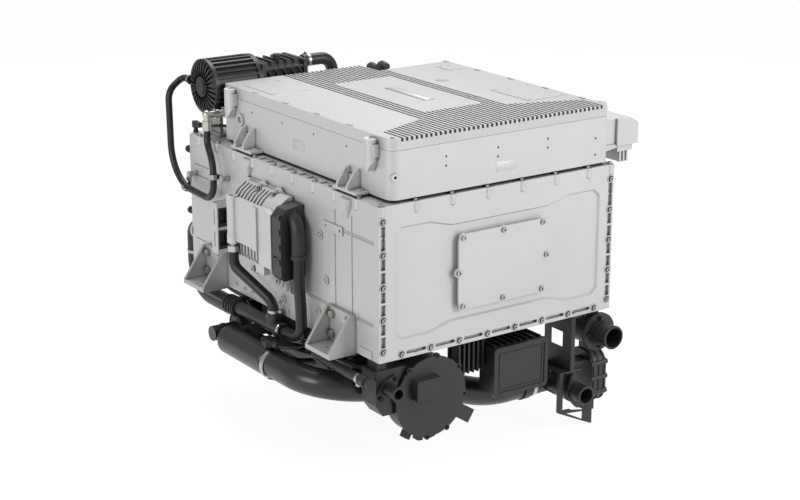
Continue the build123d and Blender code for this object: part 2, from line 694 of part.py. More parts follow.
def lid_panel(x0, x1, y0, y1):
    """Thin cover panel on the lid with four countersunk screws."""
    plate = Pos((x0 + x1) / 2, (y0 + y1) / 2, LID_TOP) * extrude(
        RectangleRounded(x1 - x0, y1 - y0, 4), PANEL_T)
    for x in (x0 + 12, x1 - 12):
        for y in (y0 + 12, y1 - 12):
            plate -= rod_z(3.5, LID_TOP + 0.3, LID_TOP + 3, x, y)
    return plate


def twin_lug(y, height, right=False):
    """Lug of two sail-shaped plates on a foot plate, bolted to the top flange."""
    z0, t = HOUSING_H, LUG_T
    x1 = CASE_X0 - 0.4
    foot = block(1, x1, y - LUG_W / 2 - 14, y + LUG_W / 2 - 8, z0 + LUG_FOOT_Z, z0 + LUG_FOOT_Z + 6)
    lug = foot
    for s in (-1, 1):
        yy = y + s * LUG_SPREAD / 2
        sail = prism_y([(x1, z0 + LUG_FOOT_Z), (x1, z0 + height - 4), (x1 - 4, z0 + height),
                        (x1 - 10, z0 + height), (x1 - 15, z0 + height - 4), (4, z0 + height - 34),
                        (1, z0 + height - 40), (1, z0 + LUG_FOOT_Z)], yy - t / 2, yy + t / 2)
        lug += sail
    back = block(x1 - 6, x1, y - LUG_SPREAD / 2, y + LUG_SPREAD / 2, z0 + LUG_FOOT_Z, z0 + height - 18)
    lug += back
    for s in (-1, 1):
        lug += rod_z(9, z0, z0 + LUG_FOOT_Z + 8, 29, y + s * (LUG_W / 2 - 12))
    if right:
        lug = mirror(lug, about=Plane.YZ.offset(0))
        lug = Pos(CASE_X1 + CASE_X0, 0, 0) * lug
    return lug


# ------------------------------------------------------------------------------ foot brackets
def foot_bracket(y, right=False):
    """Angle bracket with two side gussets, a foot plate and its chassis bolt hole."""
    z0, z1 = FOOT_PLANE, FOOT_PLANE + BRACKET_H
    zf = z0 + BRACKET_FOOT_T
    half = BRACKET_W / 2
    gusset = [(0, z0), (0, z1), (-BRACKET_TOP_REACH, z1), (-BRACKET_REACH, zf), (-BRACKET_REACH, z0)]
    body = prism_y(gusset, y - half, y - half + BRACKET_GUSSET_T)
    body += prism_y(gusset, y + half - BRACKET_GUSSET_T, y + half)
    body += block(-BRACKET_PLATE_T, 0, y - half, y + half, z0, z1)
    body += block(-BRACKET_REACH, 0, y - half, y + half, z0, zf)
    body -= rod_z(FOOT_HOLE_R, z0 - 1, zf + 1, -FOOT_HOLE_X, y)
    for dy, z in bracket_screw_places():
        body -= rod_x(7, -BRACKET_PLATE_T - 1, 1, y + dy, z)
    if right:
        body = Pos(HOUSING_W, 0, 0) * mirror(body, about=Plane.YZ)
    return body


def bracket_screw_places():
    """Four screw places on a bracket plate: offset along Y, and height."""
    dy = BRACKET_W / 2 - BRACKET_GUSSET_T - 14
    return [(s * dy, FOOT_PLANE + BRACKET_FOOT_T + h) for s in (-1, 1) for h in (20, 72)]


def bracket_screws():
    """Hexagon screws with washers on all four bracket plates; shanks fill the plate holes."""
    out = []
    for y in BRACKET_YS:
        for dy, z in bracket_screw_places():
            screw = Cylinder(6.7, BRACKET_PLATE_T, align=(Align.CENTER, Align.CENTER, Align.MIN))
            screw += Pos(0, 0, BRACKET_PLATE_T) * Cylinder(12, 2, align=(Align.CENTER,) * 2 + (Align.MIN,))
            screw += Pos(0, 0, BRACKET_PLATE_T + 2) * extrude(RegularPolygon(9.5, 6), 7)
            left = Pos(0, y + dy, z) * Rot(0, -90, 0) * screw
            out.append(left)
            out.append(Pos(HOUSING_W, 0, 0) * mirror(left, about=Plane.YZ))
    return out


# -------------------------------------------------------------------------- compressor at the back
def compressor_motor():
    """Motor barrel with cooling ribs along its length and a square drive flange."""
    x0, x1 = MOTOR_X0 + BELL_T, MOTOR_X0 + MOTOR_L
    outline = Circle(MOTOR_R - MOTOR_RIB_H)
    for i in range(MOTOR_RIB_N):
        outline += Rot(0, 0, 360 * i / MOTOR_RIB_N) * Pos(MOTOR_R - MOTOR_RIB_H, 0) \
            * Rectangle(2 * MOTOR_RIB_H, 5.5)
    barrel = Pos(x0, MOTOR_Y, MOTOR_Z) * Rot(0, 90, 0) * extrude(outline & Circle(MOTOR_R), x1 - x0 - 14)
    barrel += rod_x(MOTOR_R - 1, x1 - 14, x1, MOTOR_Y, MOTOR_Z)
    z0 = HOUSING_H + MOTOR_SADDLE_H
    barrel += block(x0 + 20, x1 - 30, MOTOR_Y - 34, MOTOR_Y + 34, z0, MOTOR_Z - MOTOR_R * 0.8)
    return barrel


def compressor_end():
    """End bell of the motor, facing left: hub, spokes between slots, and a rim."""
    t = BELL_T
    base = Pos(0, 0, 12) * Cylinder(MOTOR_R, t - 12, align=(Align.CENTER, Align.CENTER, Align.MIN))
    hub = Cone(HUB_R - 2, HUB_R + 2, 14, align=(Align.CENTER, Align.CENTER, Align.MIN))
    cone = revolve(make_face(Plane.XZ * Polyline((0, 14), (0, 3), (HUB_R, 3), (MOTOR_R - 14, 5),
                                                 (MOTOR_R, 12), (MOTOR_R, 14), close=True)), Axis.Z)
    spoke_cut = [Rot(0, 0, 360 * (i + 0.5) / MOTOR_RIB_N) * Pos((HUB_R + 6 + MOTOR_R) / 2 + 4, 0, 5)
                 * Box(MOTOR_R - HUB_R + 2, 7.0, 14) for i in range(MOTOR_RIB_N)]
    bell = base + (cone - spoke_cut) + hub
    return Pos(MOTOR_X0, MOTOR_Y, MOTOR_Z) * Rot(0, 90, 0) * bell


def compressor_scroll():
    """Compressor body: stepped casting with diagonal ribs and a round outlet neck."""
    x0 = MOTOR_X0 + MOTOR_L
    x1 = x0 + SCROLL_L
    y0, y1 = MOTOR_Y - SCROLL_R, MOTOR_Y + SCROLL_R
    zt = MOTOR_Z + SCROLL_R
    core = prism_x([(y0 + 12, MOTOR_Z - 50), (y0 + 6, zt - 30), (y0 + 26, zt - 8), (y1 - 26, zt - 8),
                    (y1 - 6, zt - 30), (y1 - 12, MOTOR_Z - 50)], x0, x1)
    rail = 6.0
    for z in (zt - 26, MOTOR_Z + 8):
        core += block(x0, x1, y0, y0 + 14, z, z + rail)
    n = 5
    pitch = (SCROLL_L - 24) / n
    for i in range(n):
        x = x0 + 14 + i * pitch
        rib = prism_y([(x + 22, MOTOR_Z + 8), (x + 27, MOTOR_Z + 8), (x + 5, zt - 20), (x, zt - 20)],
                      y0, y0 + 14)
        core += rib
        core += block(x, x + 5, y0 + 16, y1 - 16, zt - 10, zt - 3)
    core += block(x0, x0 + 12, y0 - 6, y1 + 6, MOTOR_Z - 46, zt - 4)
    core += block(x1 - 12, x1, y0 - 2, y1 + 2, MOTOR_Z - 46, zt - 6)
    core += rod_x(OUTLET_R, x1 - 1, x1 + 34, OUTLET_Y, OUTLET_Z)
    core += rod_z(10, zt - 12, zt + 4, x0 + 0.5 * SCROLL_L, OUTLET_Y)
    core += rod_z(12, zt + 4, zt + 10, x0 + 0.5 * SCROLL_L, OUTLET_Y)
    return core


def compressor_saddle():
    """Cradle that carries the compressor on the end housing."""
    x0 = MOTOR_X0 + BELL_T + 20
    x1 = MOTOR_X0 + MOTOR_L - 30
    z0, z1 = HOUSING_H, HOUSING_H + MOTOR_SADDLE_H
    body = block(x0 - 8, x1 + 8, MOTOR_Y - 44, MOTOR_Y + 44, z0, z0 + 8)
    for x in (x0, x1 - 10):
        body += block(x, x + 10, MOTOR_Y - 34, MOTOR_Y + 34, z0, z1)
    body += block(x0, x1, MOTOR_Y - 34, MOTOR_Y + 34, z1 - 8, z1)
    return body


def hose_band(x, r, axis, a, b, width=9.0):
    """Steel hose band with a screw block; axis X, Y or Z at the other two places."""
    ring = Cylinder(r + 1.6, width) - Cylinder(r, width + 1)
    ring += Pos(0, r + 4, 0) * Box(14, 7, width)
    ring -= Cylinder(r, width + 1)
    turn = {"x": Rot(90, 0, 0) * Rot(0, 90, 0), "y": Rot(-90, 0, 0), "z": Rot(0, 0, 0)}[axis]
    place = {"x": Pos(x, a, b), "y": Pos(a, x, b), "z": Pos(a, b, x)}[axis]
    return place * turn * ring


def outlet_hose():
    """Rubber elbow from the compressor outlet, turning down behind the case."""
    x0 = MOTOR_X0 + MOTOR_L + SCROLL_L
    pts = [(x0 + 8, OUTLET_Y, OUTLET_Z), (x0 + 110, OUTLET_Y, OUTLET_Z),
           (x0 + 110, OUTLET_Y, HOUSING_H + 30)]
    outer = pipe(pts, OUTLET_R + 4, (0.4,))
    outer -= rod_x(OUTLET_R, x0 + 7, x0 + 34, OUTLET_Y, OUTLET_Z)
    return outer


def outlet_stub():
    """Stub on the end housing that takes the outlet hose."""
    x = MOTOR_X0 + MOTOR_L + SCROLL_L + 110
    body = rod_z(OUTLET_R + 10, HOUSING_H, HOUSING_H + 10, x, OUTLET_Y)
    return body + rod_z(OUTLET_R, HOUSING_H + 9, HOUSING_H + 30, x, OUTLET_Y)


# --------------------------------------------------------------------------- conduit and fittings
CONDUIT_R = 9.5
CONDUIT = [(24, MOTOR_Y + MOTOR_R + 6, MOTOR_Z + 6), (24, 1022, MOTOR_Z + 6), (-27, 1014, MOTOR_Z - 26),
           (-27, 1008, 254), (-27, 768, 246), (-27, 766, 352), (-14, 821, CASE_Z0 - 9), (-12, 821, CASE_Z0 + 26.5)]


def conduit():
    """Black cable conduit from the motor, down round the rear corner and up to the elbow."""
    return pipe([(x, y, z) for x, y, z in CONDUIT], CONDUIT_R)


def conduit_gland():
    """Gland on the back of the motor bell, where the conduit starts."""
    x, y, z = CONDUIT[0]
    gland = rod_y(CONDUIT_R + 4, MOTOR_Y + MOTOR_R - 14, y, x, z) - pipe(CONDUIT, CONDUIT_R + 0.1)
    return gland - rod_x(MOTOR_R, MOTOR_X0 - 1, MOTOR_X0 + BELL_T + 20, MOTOR_Y, MOTOR_Z)


def elbow_fitting():
    """Nickel-plated elbow between the conduit and the converter case."""
    x, y, z = CONDUIT[-1]
    zt = z + 44
    body = rod_z(CONDUIT_R + 3.5, z, z + 26, x, y)
    body += rod_z(CONDUIT_R + 1, z + 26, zt, x, y)
    body += Pos(x, y, zt) * Sphere(CONDUIT_R + 3)
    for a, b, r in ((0, 24, 10.5), (24, 34, 13.5), (34, ELBOW_RUN, 10.0)):
        seg = Pos(0, 0, (a + b) / 2) * Cylinder(r, b - a)
        body += Pos(x, y, zt) * Rot(0, 90, 0) * seg
    return body - pipe(CONDUIT, CONDUIT_R + 0.1)


def conduit_clips():
    """Two P-clips that hold the conduit against the left wall, each with its screw."""
    out = []
    for (y, z, x), (sy, sz) in (((767, 316, -27), (729, 316)), ((930, 250.5, -27), (918, 290))):
        turn = Rot(0, 0, 0)
        if z < 300:
            turn = Rot(90, 0, 0)
        ring = Cylinder(CONDUIT_R + 2.2, 14) - Cylinder(CONDUIT_R + 0.3, 15)
        clip = Pos(x, y, z) * turn * ring
        length = hypot(sy - y, sz - z)
        ang = degrees(atan2(sz - z, sy - y))
        arm = Pos(CLIP_ARM_X, (y + sy) / 2, (z + sz) / 2) * Rot(ang, 0, 0) * Box(3, length + 8, 14)
        clip += arm - Pos(x, y, z) * turn * Cylinder(CONDUIT_R + 0.3, 40)
        clip += rod_x(7, 0 if sy < BODY_Y1 else END_INSET, CLIP_ARM_X + 1.5, sy, sz)
        clip += rod_x(9, CLIP_ARM_X - 9, CLIP_ARM_X - 1.5, sy, sz)
        clip -= pipe(CONDUIT, CONDUIT_R + 0.25)
        out.append(clip.solids().sort_by(lambda solid: solid.volume)[-1])
    return out


# ------------------------------------------------------------------- controller on the left wall
def controller_body():
    """Finned light-alloy body: cooling slots at its top and bottom, ears at its corners."""
    y0, y1, z0, z1 = CONTROLLER_Y0, CONTROLLER_Y1, CONTROLLER_Z0, CONTROLLER_Z1
    xw = -CONTROLLER_PAD_T
    xf = xw - CONTROLLER_D
    side = [(xw, z0 - 6), (xw, z1 + 4), (xw - 12, z1 + 4), (xf + 14, z1 - 14), (xf, z1 - 32),
            (xf, z0 + 6), (xf + 6, z0 - 6)]
    body = prism_y(side, y0, y1)
    fin_y0 = y0 + 66
    n = int((y1 - fin_y0 - 10) / CTRL_FIN_PITCH) + 1
    for i in range(n):
        y = fin_y0 + 6 + i * CTRL_FIN_PITCH
        body -= block(xf - 1, xw - 14, y, y + 9, CTRL_COVER_Z1 - 6, z1 + 6)
        body -= block(xf - 1, xw - 18, y, y + 9, z0 - 8, CTRL_COVER_Z0 + 4)
    for y, z in controller_ears():
        ear = rod_x(15, xw - 8, xw, y, z) + block(xw - 8, xw, y - 15, y + 15, min(z, z0), max(z, z0 + 20))
        body += ear
    body += block(xf + 2, xf + 20, y0 + 66, y0 + 108, z0 - 30, z0 - 5)
    body += block(xf + 12, xw, y0 + 70, y0 + 104, z0 - 16, z0)
    for y, z in controller_ears():
        body -= rod_x(11, xf - 1, xw - 8, y, z)
    return body - rod_z(16.5, 60, CTRL_COVER_Z0 - 6, xf - CTRL_COVER_T + 2, y1 - CTRL_TUBE_R - 3)


def controller_ears():
    """Screw places of the controller: two high on the near side and two below."""
    return [(CONTROLLER_Y0 + 60, CONTROLLER_Z1 + 1), (CONTROLLER_Y0 + 140, CONTROLLER_Z1 + 1),
            (CONTROLLER_Y0 + 60, CONTROLLER_Z0 - 50), (CONTROLLER_Y0 + 190, CONTROLLER_Z0 - 50)]


def controller_screws():
    """Screws in the controller ears."""
    x = -CONTROLLER_PAD_T - 8
    return [Pos(x, y, z) * Rot(0, -90, 0) * cap_screw(BOLT_R + 2, 7) for y, z in controller_ears()]


def controller_cover():
    """Front cover with an upright coolant tube, a raised flat bar and a plain near pad."""
    y0, y1 = CONTROLLER_Y0, CONTROLLER_Y1
    xf = -CONTROLLER_PAD_T - CONTROLLER_D
    t = CTRL_COVER_T
    body = block(xf - t, xf, y0 + 64, y1, CTRL_COVER_Z0, CTRL_COVER_Z1)
    body += prism_x([(y0, CONTROLLER_Z0 + 6), (y0, CONTROLLER_Z1 - 34), (y0 + 22, CONTROLLER_Z1 - 26),
                     (y0 + 64, CONTROLLER_Z1 - 26), (y0 + 64, CONTROLLER_Z0 + 6)], xf - t, xf)
    body += block(xf - t - 5, xf - t, y0 + 66, y0 + 92, CTRL_COVER_Z0, CTRL_COVER_Z1 - 2)
    ty = y1 - CTRL_TUBE_R - 3
    z0, z1 = CTRL_COVER_Z0 - 8, CTRL_COVER_Z1 + 4
    body += rod_z(CTRL_TUBE_R, z0, z1, xf - t + 2, ty)
    body += rod_z(CTRL_TUBE_R + 1.2, z0, z0 + 26, xf - t + 2, ty)
    body += rod_z(CTRL_TUBE_R + 1.2, z1 - 26, z1, xf - t + 2, ty)
    body -= rod_z(CTRL_TUBE_R - 5, z1 - 16, z1 + 1, xf - t + 2, ty)
    body -= block(xf, xf + 50, y0, y1 + 30, z0 - 1, z1 + 1)
    return body


def controller_side_cover():
    """Black moulded cable cover along the near side of the controller."""
    y1 = CONTROLLER_Y0 - 0.3
    y0 = y1 - SIDE_COVER_W
    xf = -CONTROLLER_PAD_T - CONTROLLER_D - CTRL_COVER_T + 2
    z0, z1 = CONTROLLER_Z0 - 16, CONTROLLER_Z1 - 10
    hood = prism_y([(0, z0 + 8), (xf + 10, z0), (xf, z0 + 12), (xf, z1 - 26), (xf + 18, z1 - 4),
                    (-16, z1 + 4), (0, z1 + 2)], y0, y1)
    hood += prism_y([(0, z0 - 46), (-26, z0 - 46), (-34, z0 + 20), (0, z0 + 20)], y0 + 6, y1 - 12)
    boot = pipe([(RISER_X, RISER_Y, RISER_TOP), (RISER_X, RISER_Y, RISER_TOP + 86),
                 (RISER_X + 4, y0 + 14, RISER_TOP + 112)], RISER_R + 2.5, (0.5,))
    hood += boot + rod_z(RISER_R + 4.5, RISER_TOP, RISER_TOP + 12, RISER_X, RISER_Y)
    for i in range(4):
        z = z0 + 44 + 40 * i
        hood += block(xf - 2.5, xf + 4, y0 + 4, y0 + 12, z, z + 14)
    hood -= block(xf - 1, xf + 3, y0 + 16, y1 - 8, z0 + 60, z0 + 64)
    return hood


def connector_block():
    """Alloy frame with two deep square sockets that face the front."""
    x0, x1 = -44.0, -0.3
    body = block(x0, x1, SOCKET_Y, SOCKET_Y + 33, SOCKET_Z0, SOCKET_Z1)
    mid = (SOCKET_Z0 + SOCKET_Z1) / 2
    for z0, z1 in ((SOCKET_Z0 + 12, mid - 4), (mid + 4, SOCKET_Z1 - 12)):
        body -= block(x0 + 3, x1 - 5, SOCKET_Y - 1, SOCKET_Y + 24, z0, z1)
        body -= block(x0 - 1, x0 + 1.5, SOCKET_Y + 14, SOCKET_Y + 19, z0 + 6, z1 - 6)
    return Pos(0.3, 0, 0) * body


def connector_inserts():
    """Two black insulating inserts in the sockets."""
    x0, x1 = -43.7, 0.0
    mid = (SOCKET_Z0 + SOCKET_Z1) / 2
    out = []
    for z0, z1 in ((SOCKET_Z0 + 12, mid - 4), (mid + 4, SOCKET_Z1 - 12)):
        core = block(x0 + 4, x1 - 6, SOCKET_Y + 4, SOCKET_Y + 24, z0 + 1, z1 - 1)
        core -= block(x0 + 10, x1 - 12, SOCKET_Y + 3, SOCKET_Y + 16, z0 + 9, z1 - 9)
        out.append(core)
    return out


# ------------------------------------------------------------------------ coolant line on the left
def coolant_tee():
    """Straight coolant pipe under the wall with an upright branch socket."""
    body = rod_y(TEE_R, TEE_Y0, TEE_Y1, TEE_X, TEE_Z)
    body += rod_z(TEE_R, TEE_Z, TEE_Z + 36, TEE_X, BRANCH_Y)
    body += rod_y(TEE_R + 2.5, TEE_Y0, TEE_Y0 + 14, TEE_X, TEE_Z)
    body += rod_z(TEE_R + 2.5, TEE_Z + 22, TEE_Z + 36, TEE_X, BRANCH_Y)
    body -= rod_z(HOSE_R, TEE_Z + 12, TEE_Z + 37, TEE_X, BRANCH_Y)
    body -= rod_y(RISER_R, TEE_Y0 - 1, TEE_Y0 + 16, TEE_X, TEE_Z)
    return body


def controller_hose():
    """Hose from the controller's tube down into the branch socket."""
    xf = -CONTROLLER_PAD_T - CONTROLLER_D - CTRL_COVER_T + 2
    ty = CONTROLLER_Y1 - CTRL_TUBE_R - 3
    z = CTRL_COVER_Z0 - 8
    pts = [(xf, ty, z - 24), (xf, ty, z - 66), (TEE_X, BRANCH_Y, TEE_Z + 66), (TEE_X, BRANCH_Y, TEE_Z + 12)]
    return pipe(pts, HOSE_R - 0.3)


def hose_fitting():
    """Nickel-plated fitting between the controller's tube and its hose."""
    xf = -CONTROLLER_PAD_T - CONTROLLER_D - CTRL_COVER_T + 2
    ty = CONTROLLER_Y1 - CTRL_TUBE_R - 3
    z = CTRL_COVER_Z0 - 8
    body = rod_z(9.5, z - 8, z, xf, ty) + rod_z(HOSE_R + 0.5, z - 24, z - 8, xf, ty)
    return body


def riser_hose():
    """Thick black riser from the tee's near end up into the cable cover."""
    pts = [(TEE_X, TEE_Y0 + 15, TEE_Z), (TEE_X, RISER_Y, TEE_Z), (TEE_X, RISER_Y, 60),
           (RISER_X, RISER_Y, 130), (RISER_X, RISER_Y, RISER_TOP)]
    return pipe(pts, RISER_R - 0.3, (0.45, 0.4, 0.3))


def water_pump():
    """Small round pump behind the tee, with ringed end and a hose neck at its back."""
    y = TEE_Y1
    body = rod_y(PUMP_R, y, y + 60, TEE_X, PUMP_Z)
    body += rod_y(PUMP_R - 6, y + 60, y + 70, TEE_X, PUMP_Z)
    body += rod_y(8, y + 70, y + 84, TEE_X, PUMP_Z)
    for i in range(4):
        body += ring_y(PUMP_R + 2.5, PUMP_R - 1, y + 8 + 13 * i, y + 12 + 13 * i, TEE_X, PUMP_Z)
    body += block(TEE_X - 2, TEE_X + 60, y + 22, y + 38, PUMP_Z + 10, PUMP_Z + 18)
    body += block(TEE_X + 36, TEE_X + 60, y + 22, y + 38, PUMP_Z + 10, 0)
    return body


def bypass_hose():
    """Thin hose from the pump's back to the rear pipe."""
    pts = [(TEE_X, TEE_Y1 + 84, PUMP_Z), (TEE_X, 850, PUMP_Z), (REAR_PIPE_X, 905, PUMP_Z - 6),
           (REAR_PIPE_X, REAR_PIPE_Y - REAR_PIPE_R + 2, PUMP_Z - 8)]
    hose = pipe(pts, 8)
    hose -= rear_pipe()
    return hose.solids().sort_by(Axis.Y)[0]


def rear_pipe():
    """Large black pipe from the rear cover, down and forward under the housing."""
    pts = [(REAR_PIPE_X, BACK_Y + 8, REAR_PIPE_TOP), (REAR_PIPE_X, REAR_PIPE_Y, REAR_PIPE_TOP),
           (REAR_PIPE_X, REAR_PIPE_Y, REAR_PIPE_Z), (REAR_PIPE_X, REAR_PIPE_Y0, REAR_PIPE_Z)]
    return pipe(pts, REAR_PIPE_R, (0.9, 0.5))


def rear_pipe_hanger():
    """Strap that carries the forward end of the rear pipe from the housing floor."""
    y = REAR_PIPE_Y0 + 30
    band = ring_y(REAR_PIPE_R + 4, REAR_PIPE_R, y - 10, y + 10, REAR_PIPE_X, REAR_PIPE_Z)
    band += block(REAR_PIPE_X - 10, REAR_PIPE_X + 10, y - 10, y + 10, REAR_PIPE_Z + REAR_PIPE_R + 2, -4)
    return band + block(REAR_PIPE_X - 20, REAR_PIPE_X + 30, y - 14, y + 14, -4, 0)


# ------------------------------------------------------------------------------------- underside
def muffler():
    """Long round silencer with rolled end caps and an inlet neck, hung beside the floor."""
    r, n = MUFFLER_R, 20.0
    y0, y1 = MUFFLER_Y0, MUFFLER_Y0 + MUFFLER_L
    profile = Polyline((0, 0), (r - 3, 0), (r - 3, 16), (r, 20), (r, y1 - y0 - 14), (r - 5, y1 - y0 - 4),
                       (n + 4, y1 - y0), (n, y1 - y0 + 22), (0, y1 - y0 + 22), close=True)
    body = revolve(make_face(profile), Axis.Y)
    return Pos(MUFFLER_X, y0, MUFFLER_Z) * body


def muffler_inlet():
    """Capped cross tube at the silencer's rear neck."""
    y = MUFFLER_Y0 + MUFFLER_L + 22
    body = rod_x(21, MUFFLER_X - 26, MUFFLER_X + 46, y + 21, MUFFLER_Z + 4)
    body += rod_x(23, MUFFLER_X + 6, MUFFLER_X + 14, y + 21, MUFFLER_Z + 4)
    body += rod_y(19, y, y + 20, MUFFLER_X, MUFFLER_Z)
    return body


def muffler_hangers():
    """Two saddles with arms that hang the silencer from the housing floor."""
    out = []
    top = MUFFLER_Z + MUFFLER_R
    for y in (MUFFLER_Y0 + 62, MUFFLER_Y0 + MUFFLER_L - 60):
        saddle = block(MUFFLER_X + 12, HANGER_X + 6, y - 13, y + 13, top - 24, top + 4)
        saddle += block(HANGER_X, HANGER_X + 6, y - 20, y + 20, top - 30, 0)
        saddle += block(HANGER_X, HANGER_X + 26, y - 20, y + 20, -6, 0)
        out.append(saddle - rod_y(MUFFLER_R + 0.2, y - 30, y + 30, MUFFLER_X, MUFFLER_Z))
    return out


def floor_carrier():
    """Pressed carrier under the floor with two ribs and a closed filter box."""
    body = block(46, 176, 340, 690, -8, 0)
    for x in (50, 128):
        body += prism_x([(345, -8), (345, -30), (380, -92), (640, -92), (685, -30), (685, -8)], x, x + 4)
    body += block(54, 128, 352, 430, -84, -8)
    return body


def circulation_pump():
    """Round electric pump with ribbed barrel, slung between the carrier ribs."""
    body = rod_y(34, 452, 600, 91, -52) + rod_y(36, 600, 618, 91, -52)
    body += rod_y(16, 618, 662, 91, -52) + block(80, 102, 470, 590, -28, -8)
    for i in range(8):
        body += ring_y(36.5, 33, 462 + 17 * i, 468 + 17 * i, 91, -52)
    return body


def air_duct():
    """Wide glossy duct: elbow from the silencer, across behind the blower, down to the valve."""
    r = MUFFLER_R - 3
    pts = [(MUFFLER_X, MUFFLER_Y0, MUFFLER_Z), (MUFFLER_X, DUCT_Y, MUFFLER_Z),
           (DUCT_MID_X, DUCT_Y, MUFFLER_Z - 44), (DUCT_END_X - 150, DUCT_Y - 26, DUCT_END_Z),
           (DUCT_END_X, DUCT_Y - 26, DUCT_END_Z)]
    return pipe(pts, r, (0.62, 0.4, 0.4))


def duct_clamps():
    """Bright band clamps at both ends of the duct."""
    r = MUFFLER_R
    near = hose_band(MUFFLER_Y0 + 8, r - 3, "y", MUFFLER_X, MUFFLER_Z, 13)
    far = hose_band(DUCT_END_X - 8, r - 3, "x", DUCT_Y - 26, DUCT_END_Z, 12)
    return [near, far]


def duct_hanger():
    """Strap that carries the duct from the housing floor."""
    x = DUCT_END_X - 33
    z = DUCT_END_Z
    band = rod_x(MUFFLER_R + 1, x - 11, x + 11, DUCT_Y - 26, z)
    band -= rod_x(MUFFLER_R - 2.7, x - 12, x + 12, DUCT_Y - 26, z)
    band += block(x - 11, x + 11, DUCT_Y - 30, DUCT_Y - 22, z + MUFFLER_R - 2, 0)
    return band + block(x - 8, x + 24, DUCT_Y - 44, DUCT_Y - 8, -6, 0)


def blower_volute():
    """Blower housing: round case with a tangent outlet, screw ears and foot lugs."""
    y0, y1 = BLOWER_Y + BLOWER_LID_T, BLOWER_Y + BLOWER_T
    body = rod_y(BLOWER_R - 3, y0, y1, BLOWER_X, BLOWER_Z)
    body += blower_spout(y0, y1, 1.5)
    for a in (-62, -80, -98, -118):
        px = BLOWER_X + (BLOWER_R + 4) * cos(radians(a))
        pz = BLOWER_Z + (BLOWER_R + 4) * sin(radians(a))
        body += Pos(px, (y0 + y1) / 2 + 6, pz) * Rot(0, -a, 0) * Box(26, 24, 16)
    back = Pos(BLOWER_X, y1, BLOWER_Z) * Rot(-90, 0, 0) * Cone(
        BLOWER_R - 6, BLOWER_R - 34, 18, align=(Align.CENTER, Align.CENTER, Align.MIN))
    body += back
    body += rod_y(40, y1 + 16, y1 + 26, BLOWER_X, BLOWER_Z)
    return body


def blower_spout(y0, y1, inset):
    """Tangent outlet duct of the blower, pointing down to the right."""
    w = SPOUT_W - 2 * inset
    spout = Pos(BLOWER_X, (y0 + y1) / 2, BLOWER_Z) * Rot(0, 33, 0) * Pos(SPOUT_L / 2, 0, 0) \
        * Box(SPOUT_L - inset, y1 - y0, w)
    return spout


def blower_lid():
    """Flat front lid of the blower with screw ears round its rim."""
    y0, y1 = BLOWER_Y, BLOWER_Y + BLOWER_LID_T
    lid = rod_y(BLOWER_R, y0, y1, BLOWER_X, BLOWER_Z)
    lid += blower_spout(y0, y1, 0)
    for a in blower_ear_angles():
        px, pz = BLOWER_X + BLOWER_R * cos(radians(a)), BLOWER_Z + BLOWER_R * sin(radians(a))
        lid += rod_y(8, y0, y1, px, pz)
    return lid


def blower_ear_angles():
    """Angles of the screw ears on the blower lid."""
    return (80, 36, -8, 128, 172, -62, -96)


def blower_screws():
    """Small dark screws in the blower lid's ears."""
    out = []
    for a in blower_ear_angles():
        px, pz = BLOWER_X + BLOWER_R * cos(radians(a)), BLOWER_Z + BLOWER_R * sin(radians(a))
        out.append(rod_y(4, BLOWER_Y - 3, BLOWER_Y, px, pz))
    return out


def blower_cover():
    """Raised rectangular electronics cover on the blower lid."""
    y1 = BLOWER_Y
    face = RectangleRounded(80, 56, 6)
    body = Pos(BLOWER_X - 21, y1, BLOWER_Z + 32) * Rot(90, 0, 0) * extrude(face, 24, taper=3)
    return body


def blower_arm():
    """Bracket that hangs the blower from the housing floor."""
    y = BLOWER_Y + BLOWER_T + 26
    body = block(BLOWER_X - 46, BLOWER_X + 46, y, y + 6, BLOWER_Z - 30, 0)
    body += block(BLOWER_X - 46, BLOWER_X + 46, y, y + 44, -6, 0)
    for x in (BLOWER_X - 46, BLOWER_X + 40):
        body += prism_x([(y, -100), (y, 0), (y + 40, 0)], x, x + 6)
    return body


def drain_body():
    """Side body of the blower with the lozenge face for the outlet stub."""
    body = block(4, 96, 22, 84, -152, -30)
    body -= prism_y([(3, -152), (26, -152), (3, -120)], 21, 85)
    body -= rod_y(BLOWER_R - 5, 0, 200, BLOWER_X, BLOWER_Z)
    body += block(12, 40, 30, 70, -30, 0)
    return body


def drain_stub():
    """Outlet stub on a lozenge flange with two screws."""
    x, z, y = STUB_X, STUB_Z, 22.0
    ang = 43.0
    pts = [Pos(31, 0) * Circle(11), Pos(-31, 0) * Circle(11), Circle(24)]
    plate = make_hull((pts[0] + pts[1] + pts[2]).edges())
    body = Pos(x, y, z) * Rot(90, 0, 0) * Rot(0, 0, ang) * extrude(plate, 7)
    body += rod_y(18, y - 55, y - 6, x, z)
    body += rod_y(19.5, y - 55, y - 49, x, z)
    body -= rod_y(13, y - 56, y - 8, x, z)
    return body


def stub_screws():
    """Two screws in the lozenge flange."""
    ang = radians(43)
    return [rod_y(6, 22 - 7 - 5, 22 - 7, STUB_X + s * 31 * cos(ang), STUB_Z + s * 31 * sin(ang))
            for s in (-1, 1)]


def side_tube():
    """Slim tube under the left wall, from the front fitting back to the floor."""
    pts = [(SLIM_X, 30, SLIM_Z), (SLIM_X, 258, SLIM_Z), (26, 296, SLIM_Z), (26, 296, 0)]
    return pipe(pts, SLIM_R, (0.45, 0.45))


def tube_fitting():
    """Front fitting that joins the slim tube to the blower's side body."""
    body = rod_y(SLIM_R + 4, 6, 30, SLIM_X, SLIM_Z)
    return body + block(SLIM_X, 4, 24, 34 - 8, SLIM_Z - 8, SLIM_Z + 8) + rod_y(
        SLIM_R + 1, -8, 6, SLIM_X, SLIM_Z)


def tube_band():
    """Bright band at the front end of the slim tube."""
    return hose_band(42, SLIM_R, "y", SLIM_X, SLIM_Z, 10)


